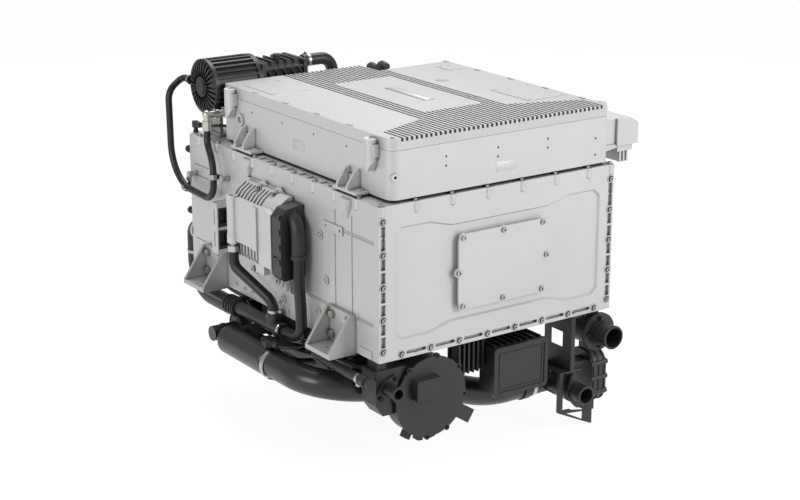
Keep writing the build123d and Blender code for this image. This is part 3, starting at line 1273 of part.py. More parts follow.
def ecu_case():
    """Control unit case with cooling ribs on its back and left side."""
    x0, x1 = ECU_X, ECU_X + ECU_W
    z1 = -ECU_DROP
    z0 = z1 - ECU_H
    y0, y1 = ECU_Y + 12, ECU_Y + 12 + ECU_D
    body = block(x0 + 4, x1 - 4, y0, y1, z0 + 4, z1 - 4)
    for i in range(8):
        x = x0 + 12 + i * (ECU_W - 30) / 7
        body += block(x, x + 6, y0 + 4, y1 + 10, z0 + 8, z1 + 3)
    body += rod_y(9, y0, y0 + 8, x1 + 2, z0 + 34) + block(x1 - 10, x1 + 2, y0, y0 + 8, z0 + 25, z0 + 43)
    return body


def ecu_lid():
    """Front lid of the control unit with its raised double frame."""
    x0, x1 = ECU_X, ECU_X + ECU_W
    z1 = -ECU_DROP
    z0 = z1 - ECU_H
    cx, cz = (x0 + x1) / 2, (z0 + z1) / 2
    face = RectangleRounded(ECU_W, ECU_H, 10)
    lid = Pos(cx, ECU_Y + 12, cz) * Rot(90, 0, 0) * extrude(face, 12)
    pocket = RectangleRounded(ECU_W - 22, ECU_H - 22, 6)
    lid -= Pos(cx, ECU_Y + 2.5, cz) * Rot(90, 0, 0) * extrude(pocket, 5)
    frame = RectangleRounded(ECU_W - 34, ECU_H - 34, 4) - RectangleRounded(ECU_W - 40, ECU_H - 40, 3)
    lid += Pos(cx, ECU_Y + 2.5, cz) * Rot(90, 0, 0) * extrude(frame, 1.5)
    return lid


def ecu_bracket():
    """Bracket and finned heat sink that carry the control unit under the floor."""
    y = ECU_Y + 12 + ECU_D + 10
    x0, x1 = ECU_X - 90, ECU_X + ECU_W - 10
    body = block(x0, x1, y, y + 5, -ECU_DROP - 70, 0)
    body += block(x0, x1, y, y + 34, -5, 0)
    for i in range(6):
        x = x0 + 4 + i * 15
        body += block(x, x + 5, ECU_Y + 40, y, -ECU_DROP - 66, -ECU_DROP + 18)
    body += block(x0 + 4, x0 + 84, ECU_Y + 56, y, -ECU_DROP - 34, -ECU_DROP - 28)
    return body


def support_frame():
    """Sheet frame for the ports: windowed hanger plate, shelf, post and lower brace."""
    x = FRAME_X
    y1 = FRAME_D
    plate = block(x - 4, x, 0, y1, SHELF_Z, 0)
    plate -= block(x - 5, x + 1, 36, 86, -96, -52)
    body = plate + block(x - 4, x + 9, 0, 3, SHELF_Z, 0)
    body += block(x - 34, x + 30, 0, y1, -6, 0) - block(x - 35, x - 4, -1, 30, -7, 1)
    body += block(x - 40, x + 32, 0, y1, SHELF_Z - 4, SHELF_Z)
    body += block(x - 40, x - 28, 0, 12, BRACE_Z, SHELF_Z)
    brace = prism_y([(x - 40, BRACE_Z), (x - 40, BRACE_Z + 10), (x + 76, BRACE_Z - 14),
                     (x + 76, BRACE_Z - 52), (x + 70, BRACE_Z - 52)], 0, 4)
    brace -= prism_y([(x - 14, BRACE_Z - 5), (x + 44, BRACE_Z - 11), (x + 44, BRACE_Z - 35)], -1, 5)
    body += brace
    body += prism_z([(x - 40, 0), (x - 40, 12), (x, 6), (x, 0)], BRACE_Z, BRACE_Z + 4)
    return body


def port_body(x, z, r, y0, y1):
    """Round valve body behind a port."""
    return rod_y(r, y0, y1, x, z)


def upper_port():
    """Upper coolant port: valve body, round flange and beaded hose stub with a clear bore."""
    body = rod_y(PORT_DISC_R - 10, 8, 96, PORT_X, PORT_Z)
    body += rod_y(PORT_DISC_R, 0, 8, PORT_X, PORT_Z)
    body += rod_y(PORT_R + 4, -8, 0, PORT_X, PORT_Z)
    body += rod_y(PORT_R, -PORT_L, -8, PORT_X, PORT_Z)
    for a in (90, 180, 270, 0):
        body += Pos(PORT_X, 0, PORT_Z) * Rot(0, -a, 0) * Pos(PORT_R + 8, -5, 0) * Box(12, 10, 4)
    body += block(PORT_X - 22, PORT_X + 22, 30, 80, PORT_Z + 30, 0)
    return body - rod_y(PORT_BORE_R, -PORT_L - 1, 60, PORT_X, PORT_Z)


def lower_port():
    """Lower coolant port: body, two-eared flange and hose stub with a clear bore."""
    x, z = LOW_PORT_X, LOW_PORT_Z
    body = rod_y(LOW_PORT_R + 8, 10, 92, x, z)
    plate = make_hull((Pos(0, 42) * Circle(9) + Pos(0, -42) * Circle(9) + Circle(LOW_PORT_R + 6)).edges())
    body += Pos(x, 10, z) * Rot(90, 0, 0) * Rot(0, 0, 12) * extrude(plate, 8)
    body += rod_y(LOW_PORT_R, -LOW_PORT_L, 3, x, z)
    body += block(x - 20, x + 12, 20, 84, z + 20, SHELF_Z - 4)
    body += rod_x(MUFFLER_R - 6, DUCT_END_X, x - 10, DUCT_Y - 26, z)
    body += block(x - 30, x + 20, 60, DUCT_Y - 20, z - 20, z + 20)
    return body - rod_y(LOW_PORT_BORE_R, -LOW_PORT_L - 1, 50, x, z)


def valve_actuator():
    """Flat actuator of the valve: rounded upright body with ribs round its rim."""
    x0, x1 = ACT_X, ACT_X + ACT_T
    cy, cz = ACT_Y + ACT_D / 2, ACT_Z
    face = RectangleRounded(ACT_D, ACT_H, ACT_D * 0.42)
    body = Pos(x0, cy, cz) * Rot(0, 90, 0) * Rot(0, 0, 90) * extrude(face, ACT_T)
    for i, x in enumerate((x0 + 4, x0 + ACT_T / 2 - 2, x1 - 8)):
        rim = RectangleRounded(ACT_D + 5, ACT_H + 5, ACT_D * 0.42 + 2)
        body += Pos(x, cy, cz) * Rot(0, 90, 0) * Rot(0, 0, 90) * extrude(rim, 4)
    for dz in (-42, 0, 42):
        body += rod_x(8, x0 - 3, x1 + 3, ACT_Y + 4, cz + dz)
    body += block(x0 + 8, x1 - 14, ACT_Y + 30, ACT_Y + 60, cz - ACT_H / 2 - 30, cz - ACT_H / 2 + 4)
    body += block(x0 + 6, x0 + 30, ACT_Y + 30, ACT_Y + 66, cz + ACT_H / 2 - 3, PORT_Z - PORT_DISC_R + 18)
    return body - rod_y(PORT_DISC_R - 9.5, -10, 200, PORT_X, PORT_Z)


def actuator_arm():
    """Arm of the support frame that reaches the actuator."""
    return block(FRAME_X + 30, ACT_X, ACT_Y + 16, ACT_Y + 60, SHELF_Z - 4, SHELF_Z)


# ------------------------------------------------------------------------------ boxes on the case
def service_box():
    """Pale terminal box on the right side: neck, chamfered head and ribbed lower part."""
    x0 = CASE_X1
    y0, y1 = SERVICE_Y0, SERVICE_Y0 + SERVICE_L
    z1 = CASE_Z0 + 104
    body = block(x0, x0 + 56, y0 + 8, y1 - 8, z1 - 70, z1)
    head = prism_y([(x0 + 52, z1 - 74), (x0 + 52, z1), (x0 + 96, z1), (x0 + 124, z1 - 16),
                    (x0 + 124, z1 - 74)], y0, y1)
    body += head
    body += prism_y([(x0, z1 - 86), (x0, z1 - 69), (x0 + 56, z1 - 69), (x0 + 56, z1 - 78)], y0 + 4, y1 - 4)
    body += block(x0 + 60, x0 + 112, y0 + 8, y1 - 10, z1 - 92, z1 - 73)
    body += block(x0 + 74, x0 + 100, y0 + 16, y1 - 24, z1 - 122, z1 - 91)
    for i in range(3):
        x = x0 + 72 + 12 * i
        body += block(x, x + 5, y0 + 12, y0 + 17, z1 - 122, z1 - 91)
    return body


def hv_box():
    """High-voltage junction box in the corner left out of the case."""
    x0, y0 = HV_BOX_X, JOG_Y + 14
    face = RectangleRounded(HV_BOX_W, HV_BOX_D, 8)
    box = Pos(x0 + HV_BOX_W / 2, y0 + HV_BOX_D / 2, HOUSING_H) * extrude(face, HV_BOX_H)
    return box


def hv_plugs():
    """Two black plugs with latches on top of the junction box."""
    z = HOUSING_H + HV_BOX_H
    out = []
    for x in (HV_BOX_X + 14, HV_BOX_X + 50):
        y = JOG_Y + 14 + HV_BOX_D - 18
        plug = block(x - 12, x + 12, y - 12, y + 12, z, z + 16)
        plug += rod_y(10, y - 20, y + 18, x, z + 22)
        plug += Pos(x, y - 4, z + 31) * Rot(8, 0, 0) * Box(11, 28, 5)
        out.append(plug)
    return out


def lid_panels():
    """Three thin panels on the plain areas of the lid."""
    return [lid_panel(69, 188, 600, 760), lid_panel(583, 713, 157, 326), lid_panel(650, 703, 594, 670)]


def cover_screws():
    """Screws round the front cover and the domed screws of the access plate."""
    out = front_screws(cover_bolts, 0, BOLT_R, BOLT_HEAD_H)
    y = -(ACCESS_PAD_T + ACCESS_T)
    return out + front_screws(access_places(), y, ACCESS_BOLT_R, ACCESS_BOLT_H)


nodes = {
    "stack_housing": stack_housing(),
    "front_cover": front_cover(),
    "access_plate": access_plate(),
    "end_housing": end_housing(),
    "end_cover": end_cover(),
    "top_gasket": top_gasket(),
    "flange_screws": flange_screws() + rear_screws(),
    "cover_screws": cover_screws(),
    "cell_block": cell_block(),
    "stack_clamping": stack_platens() + stack_rails() + tie_bars(),
    "converter_case": converter_case(),
    "converter_lid": converter_lid(),
    "lid_trim": lid_clips() + lid_panels(),
    "front_left_bracket": foot_bracket(BRACKET_FRONT_Y),
    "rear_left_bracket": foot_bracket(BRACKET_REAR_Y),
    "front_right_bracket": foot_bracket(BRACKET_FRONT_Y, True),
    "rear_right_bracket": foot_bracket(BRACKET_REAR_Y, True),
    "front_lug": twin_lug(LUG_FRONT_Y, LUG_FRONT_H),
    "rear_lug": twin_lug(LUG_REAR_Y, LUG_REAR_H),
    "hex_screws": bracket_screws() + controller_screws() + blower_screws() + stub_screws(),
    "compressor_motor": compressor_motor(),
    "compressor_end": compressor_end(),
    "compressor_scroll": compressor_scroll(),
    "compressor_saddle": compressor_saddle(),
    "outlet_hose": outlet_hose(),
    "outlet_stub": outlet_stub(),
    "conduit": conduit(),
    "nickel_fittings": [conduit_gland(), elbow_fitting(), hose_fitting()],
    "conduit_clips": conduit_clips(),
    "controller_body": controller_body(),
    "controller_cover": controller_cover(),
    "controller_side_cover": controller_side_cover(),
    "connector_block": connector_block(),
    "black_plugs": connector_inserts() + hv_plugs(),
    "coolant_tee": coolant_tee(),
    "coolant_hoses": [controller_hose(), riser_hose(), bypass_hose()],
    "water_pump": water_pump(),
    "rear_pipe": rear_pipe(),
    "muffler": muffler() + muffler_inlet(),
    "pipe_hangers": muffler_hangers() + [duct_hanger(), rear_pipe_hanger()],
    "air_duct": air_duct(),
    "hose_bands": duct_clamps() + [tube_band()],
    "blower_volute": blower_volute() + drain_body(),
    "blower_lid": blower_lid(),
    "blower_cover": blower_cover(),
    "blower_arm": blower_arm(),
    "drain_stub": drain_stub(),
    "side_tube": side_tube(),
    "tube_fitting": tube_fitting(),
    "ecu_case": ecu_case(),
    "ecu_lid": ecu_lid(),
    "ecu_bracket": ecu_bracket(),
    "support_frame": support_frame() + actuator_arm(),
    "floor_carrier": floor_carrier(),
    "circulation_pump": circulation_pump(),
    "upper_port": upper_port(),
    "lower_port": lower_port(),
    "valve_actuator": valve_actuator(),
    "service_box": service_box(),
    "hv_box": hv_box(),
}
for name, shape in nodes.items():
    save(name, shape)
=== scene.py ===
"""Dresses the fuel cell stack module: finishes for every cast, moulded and rubber piece, and
the fittings that the solids leave out: clamps, hose lips, looms and return hoses, a condensate
tank, a pump head, a switch, a sensor, capped studs, a vent cap, a raised bar and bare plates.

Metres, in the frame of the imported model: +X to the right along the front cover, +Y from the
front cover to the rear, +Z up, origin at the centre of the four chassis bolt holes.
"""
from __future__ import annotations

import logging
from dataclasses import dataclass, field
from enum import Enum
from math import pi, radians

import bmesh
import bpy
from mathutils import Matrix, Vector


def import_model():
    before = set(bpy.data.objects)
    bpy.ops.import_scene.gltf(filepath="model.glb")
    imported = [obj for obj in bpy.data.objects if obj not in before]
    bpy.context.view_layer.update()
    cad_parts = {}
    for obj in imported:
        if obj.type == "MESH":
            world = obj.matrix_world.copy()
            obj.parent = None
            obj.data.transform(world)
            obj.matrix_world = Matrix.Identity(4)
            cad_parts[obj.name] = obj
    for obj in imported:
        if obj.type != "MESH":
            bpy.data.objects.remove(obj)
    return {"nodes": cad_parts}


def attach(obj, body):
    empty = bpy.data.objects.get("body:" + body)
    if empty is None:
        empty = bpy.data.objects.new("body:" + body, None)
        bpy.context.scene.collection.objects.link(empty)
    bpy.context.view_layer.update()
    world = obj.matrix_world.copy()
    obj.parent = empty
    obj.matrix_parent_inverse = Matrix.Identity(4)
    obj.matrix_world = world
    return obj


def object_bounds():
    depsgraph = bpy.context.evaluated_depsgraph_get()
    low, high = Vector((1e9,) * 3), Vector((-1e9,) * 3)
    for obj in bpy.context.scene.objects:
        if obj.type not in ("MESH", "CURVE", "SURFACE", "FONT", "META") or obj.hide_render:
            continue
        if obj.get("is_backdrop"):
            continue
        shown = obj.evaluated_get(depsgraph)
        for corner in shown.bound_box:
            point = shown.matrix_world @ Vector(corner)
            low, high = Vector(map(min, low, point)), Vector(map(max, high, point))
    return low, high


LOG = logging.getLogger("fuel_cell_module")
MM = 0.001
# Left front corner of the housing floor in the model's frame, in millimetres.
HOUSING = Vector((-374.25, -482.5, 5.0))
UP = Vector((0, 0, 1))

# A profile is radius and height pairs; a point is x, y and z from the housing's corner. Millimetres.
Profile = tuple[tuple[float, float], ...]
Point = tuple[float, float, float]


def at(x: float, y: float, z: float) -> Vector:
    """A point given in the housing's own millimetres.

    Args:
        x: Right of the left wall.
        y: Behind the front cover.
        z: Above the housing floor.

    Returns:
        The same point in the model's frame, in metres.
    """
    return (Vector((x, y, z)) + HOUSING) * MM


def linear(code: str) -> tuple[float, float, float, float]:
    """Turns an sRGB hex value into linear colour.

    Args:
        code: Six hex digits.

    Returns:
        Linear red, green, blue and an alpha of 1.
    """
    parts = [int(code[i:i + 2], 16) / 255 for i in (0, 2, 4)]
    r, g, b = (c / 12.92 if c <= 0.04045 else ((c + 0.055) / 1.055) ** 2.4 for c in parts)
    return (r, g, b, 1.0)


def add_node(tree: bpy.types.NodeTree, kind: str, links: dict | None = None,
             **settings: object) -> bpy.types.Node:
    """Adds one shader node.

    Args:
        tree: The material's node tree.
        kind: Blender's type name of the node.
        links: Input name or number to the socket that feeds it, or to a plain value.
        settings: Properties of the node itself.

    Returns:
        The new node.
    """
    node = tree.nodes.new(kind)
    for name, value in settings.items():
        setattr(node, name, value)
    for key, value in (links or {}).items():
        socket = node.inputs[key]
        if isinstance(value, bpy.types.NodeSocket):
            tree.links.new(value, socket)
        else:
            socket.default_value = value
    return node


# ------------------------------------------------------------------------------------ finishes
# The part of the noise over which the tone and the roughness drift, and the part of a crevice's
# openness over which painted shade darkens the colour.
TONE_RANGE = (0.3, 0.7)
ROUGH_RANGE = (0.25, 0.75)
PAINTED_SHADE_RANGE = (0.15, 0.85)
# The grain's scale along drawn lines, the tone of the painted shade left in a crevice, the share of
# the fine grain in the tone, the strength of the relief and the roughness of a clear coat.
DRAWN_SCALE = 0.12
PAINTED_SHADE_TONE = 0.22
GRAIN_SHARE = 0.3
RELIEF_STRENGTH = 0.35
COAT_ROUGHNESS = 0.18


class Surface(Enum):
    """How a surface was made, which decides its pattern."""

    BLASTED = "blasted casting"
    SATIN = "satin machined"
    MOULDED = "moulded"
    EXTRUDED_RUBBER = "extruded rubber"
    PLATED = "plated"
    COATED = "coated sheet"


@dataclass(frozen=True)
class Finish:
    """One finish, named for the real material and how its surface was made.

    Attributes:
        name: The material's name.
        surface: How it was made.
        colour: Main colour, sRGB hex.
        second: The tone that it drifts to.
        metallic: Share of metal.
        roughness: Middle of the roughness.
        spread: How far the roughness drifts.
        grain_mm: Size of the fine grain.
        relief_mm: Depth of the grain.
        ior: Index of refraction.
        coat: Weight of a clear coat.
        cloud_mm: Size of the broad drift in tone.
        painted_shade_mm: Reach of the shade painted into the colour in crevices.
    """

    name: str
    surface: Surface
    colour: str
    second: str
    metallic: float
    roughness: float
    spread: float
    grain_mm: float
    relief_mm: float
    ior: float = 1.5
    coat: float = 0.0
    cloud_mm: float = 260.0
    painted_shade_mm: float = 11.0

    def make(self) -> bpy.types.Material:
        """Builds the material.

        Returns:
            A node material that reads Object coordinates.
        """
        mat = bpy.data.materials.new(self.name)
        mat.use_nodes = True
        tree = mat.node_tree
        tree.nodes.clear()
        place = add_node(tree, "ShaderNodeTexCoord").outputs["Object"]
        if self.surface is Surface.SATIN:
            place = add_node(tree, "ShaderNodeMapping", {
                "Vector": place, "Scale": (1.0, DRAWN_SCALE, 1.0)}).outputs[0]
        cloud = add_node(tree, "ShaderNodeTexNoise", {
            "Vector": place, "Scale": 1000 / self.cloud_mm, "Detail": 3.0,
            "Roughness": 0.55}).outputs["Fac"]
        grain = add_node(tree, "ShaderNodeTexNoise", {
            "Vector": place, "Scale": 1000 / self.grain_mm, "Detail": 4.0,
            "Roughness": 0.65}).outputs["Fac"]
        tone = add_node(tree, "ShaderNodeMapRange", {
            "Value": cloud, "From Min": TONE_RANGE[0], "From Max": TONE_RANGE[1],
            "To Min": 0.0, "To Max": 1.0}).outputs[0]
        speck = add_node(tree, "ShaderNodeMath", {0: grain, 1: GRAIN_SHARE},
                         operation="MULTIPLY").outputs[0]
        both = add_node(tree, "ShaderNodeMath", {0: tone, 1: speck},
                        operation="ADD", use_clamp=True).outputs[0]
        colour = add_node(tree, "ShaderNodeMix", {
            "Factor": both, 6: linear(self.colour), 7: linear(self.second)},
            data_type="RGBA").outputs[2]
        # Painted shade: ambient occlusion darkens the base colour in crevices, recesses and between
        # parts.
        shade_mask = add_node(tree, "ShaderNodeAmbientOcclusion", {"Distance": self.painted_shade_mm * MM},
                        samples=8).outputs["AO"]
        painted_shade = add_node(tree, "ShaderNodeMapRange", {
            "Value": shade_mask, "From Min": PAINTED_SHADE_RANGE[0], "From Max": PAINTED_SHADE_RANGE[1],
            "To Min": PAINTED_SHADE_TONE, "To Max": 1.0}).outputs[0]
        colour = add_node(tree, "ShaderNodeMix", {
            "Factor": 1.0, 6: colour, 7: painted_shade}, data_type="RGBA", blend_type="MULTIPLY").outputs[2]
        rough = add_node(tree, "ShaderNodeMapRange", {
            "Value": cloud, "From Min": ROUGH_RANGE[0], "From Max": ROUGH_RANGE[1],
            "To Min": self.roughness - self.spread, "To Max": self.roughness + self.spread}).outputs[0]
        height = grain
        if self.surface is Surface.PLATED:
            wave = add_node(tree, "ShaderNodeTexWave", {
                "Vector": place, "Scale": 1000 / (6 * self.grain_mm), "Distortion": 2.0}).outputs["Fac"]
            height = add_node(tree, "ShaderNodeMath", {0: wave, 1: grain},
                              operation="MULTIPLY").outputs[0]
        bump = add_node(tree, "ShaderNodeBump", {
            "Height": height, "Strength": RELIEF_STRENGTH, "Distance": self.relief_mm * MM}).outputs[0]
        shader = add_node(tree, "ShaderNodeBsdfPrincipled", {
            "Base Color": colour, "Roughness": rough, "Metallic": self.metallic, "Normal": bump,
            "IOR": self.ior, "Coat Weight": self.coat, "Coat Roughness": COAT_ROUGHNESS}).outputs[0]
        add_node(tree, "ShaderNodeOutputMaterial", {"Surface": shader})
        return mat


# Bead-blasted cast aluminium: an even, soft grey that takes no sharp highlight.
CAST_HOUSING = Finish(
    name="blasted_cast_aluminium", surface=Surface.BLASTED,
    colour="CECECE", second="C9CACA", metallic=0.5,
    roughness=0.5, spread=0.02, grain_mm=2.2, relief_mm=0.10)
# The converter case is the same alloy, painted a paler, smoother silver.
PALE_CASE = Finish(
    name="silver_painted_aluminium", surface=Surface.BLASTED,
    colour="CED0D1", second="CACCCD", metallic=0.4,
    roughness=0.42, spread=0.02, grain_mm=1.8, relief_mm=0.05)
# Machined lid: drawn lines along its length leave a faint sheen.
MACHINED_LID = Finish(
    name="satin_machined_aluminium", surface=Surface.SATIN,
    colour="CDCED0", second="C2C3C5", metallic=0.6,
    roughness=0.36, spread=0.05, grain_mm=1.2, relief_mm=0.04)
# Plain sand-cast brackets, darker and coarser than the housing.
SAND_CAST = Finish(
    name="sand_cast_aluminium", surface=Surface.BLASTED,
    colour="C4C4C2", second="B4B4B2", metallic=0.6,
    roughness=0.44, spread=0.04, grain_mm=3.0, relief_mm=0.18)
# Compressor casting in a dark hard-anodised coat.
ANODISED_DARK = Finish(
    name="hard_anodised_aluminium", surface=Surface.BLASTED,
    colour="3A3C3E", second="303234", metallic=0.45,
    roughness=0.44, spread=0.05, grain_mm=2.4, relief_mm=0.14)
# Glass-filled nylon: dull, slightly mottled black.
FILLED_NYLON = Finish(
    name="glass_filled_nylon", surface=Surface.MOULDED,
    colour="2D2E30", second="252628", metallic=0.0,
    roughness=0.42, spread=0.05, grain_mm=1.6, relief_mm=0.08)
# Polypropylene duct, smooth from the mould and fairly shiny.
GLOSS_DUCT = Finish(
    name="moulded_polypropylene", surface=Surface.MOULDED,
    colour="232427", second="1E1F21", metallic=0.0,
    roughness=0.34, spread=0.03, grain_mm=5.0, relief_mm=0.05,
    ior=1.49, coat=0.2)
# Rubber hose with a cloth-marked skin.
HOSE_RUBBER = Finish(
    name="epdm_rubber", surface=Surface.EXTRUDED_RUBBER,
    colour="141517", second="101112", metallic=0.0,
    roughness=0.42, spread=0.06, grain_mm=1.4, relief_mm=0.12,
    ior=1.52)
# Zinc-plated steel fasteners with a slightly warm cast.
ZINC = Finish(
    name="zinc_plated_steel", surface=Surface.PLATED,
    colour="C2C1BC", second="ABAAA5", metallic=1.0,
    roughness=0.36, spread=0.06, grain_mm=0.8, relief_mm=0.03)
# Blackened screws on the dark moulded pieces and along the lid.
BLACK_OXIDE = Finish(
    name="black_oxide_steel", surface=Surface.COATED,
    colour="232425", second="1B1C1D", metallic=0.7,
    roughness=0.4, spread=0.05, grain_mm=1.2, relief_mm=0.04)
# Nickel-plated brass fittings.
NICKEL = Finish(
    name="nickel_plated_brass", surface=Surface.PLATED,
    colour="C9C8C2", second="B4B3AD", metallic=1.0,
    roughness=0.22, spread=0.05, grain_mm=1.0, relief_mm=0.02)
# Powder-coated sheet steel, near black with an orange-peel skin.
COATED_STEEL = Finish(
    name="powder_coated_steel", surface=Surface.COATED,
    colour="2F3032", second="28292B", metallic=0.0,
    roughness=0.42, spread=0.05, grain_mm=2.6, relief_mm=0.14)
# Silicone gasket in the joint under the case: dull, near black.
GASKET = Finish(
    name="silicone_gasket_rubber", surface=Surface.MOULDED,
    colour="161718", second="121314", metallic=0.0,
    roughness=0.6, spread=0.04, grain_mm=1.2, relief_mm=0.04,
    ior=1.43)
# Pressed graphite cell plates.
GRAPHITE = Finish(
    name="pressed_graphite", surface=Surface.MOULDED,
    colour="34353A", second="2A2B2F", metallic=0.2,
    roughness=0.5, spread=0.05, grain_mm=1.5, relief_mm=0.05)

NODE_FINISH: dict[str, Finish] = {
    "stack_housing": CAST_HOUSING, "front_cover": CAST_HOUSING, "access_plate": CAST_HOUSING,
    "end_housing": CAST_HOUSING, "end_cover": CAST_HOUSING, "top_gasket": GASKET,
    "flange_screws": ZINC, "cover_screws": ZINC, "cell_block": GRAPHITE, "stack_clamping": COATED_STEEL,
    "converter_case": PALE_CASE, "converter_lid": MACHINED_LID, "lid_trim": MACHINED_LID,
    "front_left_bracket": SAND_CAST, "rear_left_bracket": SAND_CAST,
    "front_right_bracket": SAND_CAST, "rear_right_bracket": SAND_CAST,
    "front_lug": PALE_CASE, "rear_lug": PALE_CASE, "hex_screws": ZINC,
    "compressor_motor": ANODISED_DARK, "compressor_end": ANODISED_DARK,
    "compressor_scroll": ANODISED_DARK, "compressor_saddle": SAND_CAST,
    "outlet_hose": HOSE_RUBBER, "outlet_stub": SAND_CAST, "conduit": HOSE_RUBBER,
    "nickel_fittings": NICKEL, "conduit_clips": ZINC, "controller_body": PALE_CASE,
    "controller_cover": PALE_CASE, "controller_side_cover": FILLED_NYLON,
    "connector_block": CAST_HOUSING, "black_plugs": FILLED_NYLON, "coolant_tee": FILLED_NYLON,
    "coolant_hoses": HOSE_RUBBER, "water_pump": FILLED_NYLON, "rear_pipe": HOSE_RUBBER,
    "muffler": GLOSS_DUCT, "pipe_hangers": COATED_STEEL, "air_duct": GLOSS_DUCT, "hose_bands": NICKEL,
    "blower_volute": FILLED_NYLON, "blower_lid": FILLED_NYLON, "blower_cover": FILLED_NYLON,
    "blower_arm": COATED_STEEL, "drain_stub": FILLED_NYLON, "side_tube": FILLED_NYLON,
    "tube_fitting": FILLED_NYLON, "ecu_case": ANODISED_DARK, "ecu_lid": FILLED_NYLON,
    "ecu_bracket": COATED_STEEL, "support_frame": COATED_STEEL, "upper_port": FILLED_NYLON,
    "lower_port": FILLED_NYLON, "valve_actuator": FILLED_NYLON, "service_box": PALE_CASE,
    "hv_box": PALE_CASE, "floor_carrier": COATED_STEEL, "circulation_pump": FILLED_NYLON,
}

_made: dict[str, bpy.types.Material] = {}


def material(finish: Finish) -> bpy.types.Material:
    """The material of a finish, built once.

    Args:
        finish: The finish wanted.

    Returns:
        Its material.
    """
    if finish.name not in _made:
        _made[finish.name] = finish.make()
    return _made[finish.name]


# ------------------------------------------------------------------------------- mesh helpers
# Faces that meet flatter than this many degrees are shaded smooth. Clamps, the finned motor head
# and plates with a small edge radius take lower limits, so that their flat faces stay even.
ROUND_SMOOTH = 40.0
CLAMP_SMOOTH = 30.0
HEAD_SMOOTH = 28.0
PLATE_SMOOTH = 24.0
# Points nearer than this, in metres, are merged.
WELD = 1e-6


def seat(name: str, data: bpy.types.Mesh, finish: Finish) -> None:
    """Makes a piece of a finished mesh and lets it ride on the module.

    Args:
        name: Name of the piece.
        data: Its mesh, already in the model's frame.
        finish: What it is made of.
    """
    data.materials.append(material(finish))
    obj = bpy.data.objects.new(name, data)
    bpy.context.scene.collection.objects.link(obj)
    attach(obj, "root")
    LOG.info("made %s", name)


def settle(name: str, mesh: bmesh.types.BMesh, finish: Finish,
           smooth: float = ROUND_SMOOTH) -> None:
    """Turns a finished bmesh into a piece of its own.

    Args:
        name: Name of the piece.
        mesh: The shape, already in the model's frame.
        finish: What it is made of.
        smooth: Edges flatter than this angle, in degrees, are shaded smooth.
    """
    bmesh.ops.remove_doubles(mesh, verts=mesh.verts, dist=WELD)
    bmesh.ops.recalc_face_normals(mesh, faces=mesh.faces)
    for edge in mesh.edges:
        edge.smooth = edge.calc_face_angle(pi) < radians(smooth)
    for face in mesh.faces:
        face.smooth = True
    data = bpy.data.meshes.new(name)
    mesh.to_mesh(data)
    mesh.free()
    seat(name, data, finish)


def frame_to(origin: Vector, axis: Vector) -> Matrix:
    """Matrix that carries a shape built along +Z to a place and direction.

    Args:
        origin: Where the shape's own origin goes.
        axis: Where its +Z points.

    Returns:
        The matrix.
    """
    return Matrix.Translation(origin) @ axis.normalized().to_track_quat("Z", "Y").to_matrix().to_4x4()


def add_box(mesh: bmesh.types.BMesh, low: Vector, high: Vector, round_mm: float,
            steps: int) -> None:
    """Adds a block between two corners, with rounded edges.

    Args:
        mesh: The bmesh to add to.
        low: Lowest corner, in metres.
        high: Highest corner, in metres.
        round_mm: Edge radius.
        steps: Segments of the rounding.
    """
    made = bmesh.ops.create_cube(mesh, size=1.0)["verts"]
    bmesh.ops.scale(mesh, vec=high - low, verts=made)
    bmesh.ops.translate(mesh, vec=(low + high) / 2, verts=made)
    edges = list({edge for vert in made for edge in vert.link_edges})
    bmesh.ops.bevel(mesh, geom=edges, offset=round_mm * MM, segments=steps, affect="EDGES",
                    profile=0.5, material=-1)


def add_turned(mesh: bmesh.types.BMesh, profile: Profile, place: Matrix, steps: int) -> None:
    """Adds a turned shape.

    Args:
        mesh: The bmesh to add to.
        profile: Radius and height pairs in millimetres, along the shape's own +Z.
        place: Where the shape goes.
        steps: Segments round the axis.
    """
    verts = [mesh.verts.new((r * MM, 0.0, h * MM)) for r, h in profile]
    edges = [mesh.edges.new(pair) for pair in zip(verts, verts[1:])]
    known = set(mesh.verts) - set(verts)
    bmesh.ops.spin(mesh, geom=verts + edges, cent=(0, 0, 0), axis=(0, 0, 1), angle=2 * pi,
                   steps=steps, use_merge=True)
    bmesh.ops.transform(mesh, matrix=place, verts=[vert for vert in mesh.verts if vert not in known])


def add_ring(mesh: bmesh.types.BMesh, place: Matrix, inner: float, outer: float, width: float,
             steps: int = 48) -> None:
    """Adds a closed ring of rectangular section with softened edges.

    Args:
        mesh: The bmesh to add to.
        place: Ring centre and axis.
        inner: Inner radius in millimetres.
        outer: Outer radius in millimetres.
        width: Width along the axis in millimetres.
        steps: Segments round the ring.
    """
    h, c = width / 2, min(0.4, (outer - inner) / 3)
    add_turned(mesh, ((inner, -h), (outer - c, -h), (outer, -h + c), (outer, h - c), (outer - c, h),
                      (inner, h), (inner, -h)), place, steps)


def spline_tube(name: str, points: list[Vector], radius_mm: float, finish: Finish) -> None:
    """A fixed cable or small hose on a smooth line.

    Args:
        name: Name of the piece.
        points: Control points in the model's frame.
        radius_mm: Tube radius.
        finish: What it is made of.
    """
    curve = bpy.data.curves.new(name, "CURVE")
    curve.dimensions = "3D"
    spline = curve.splines.new("NURBS")
    spline.points.add(len(points) - 1)
    for point, place in zip(spline.points, points):
        point.co = (*place, 1.0)
    spline.order_u = 3
    spline.use_endpoint_u = True
    curve.resolution_u = 8
    curve.bevel_depth = radius_mm * MM
    curve.bevel_resolution = 4
    curve.use_fill_caps = True
    holder = bpy.data.objects.new(name + "_line", curve)
    bpy.context.scene.collection.objects.link(holder)
    data = bpy.data.meshes.new_from_object(holder.evaluated_get(bpy.context.evaluated_depsgraph_get()))
    bpy.data.objects.remove(holder)
    data.name = name
    data.materials.clear()
    for face in data.polygons:
        face.use_smooth = True
    seat(name, data, finish)


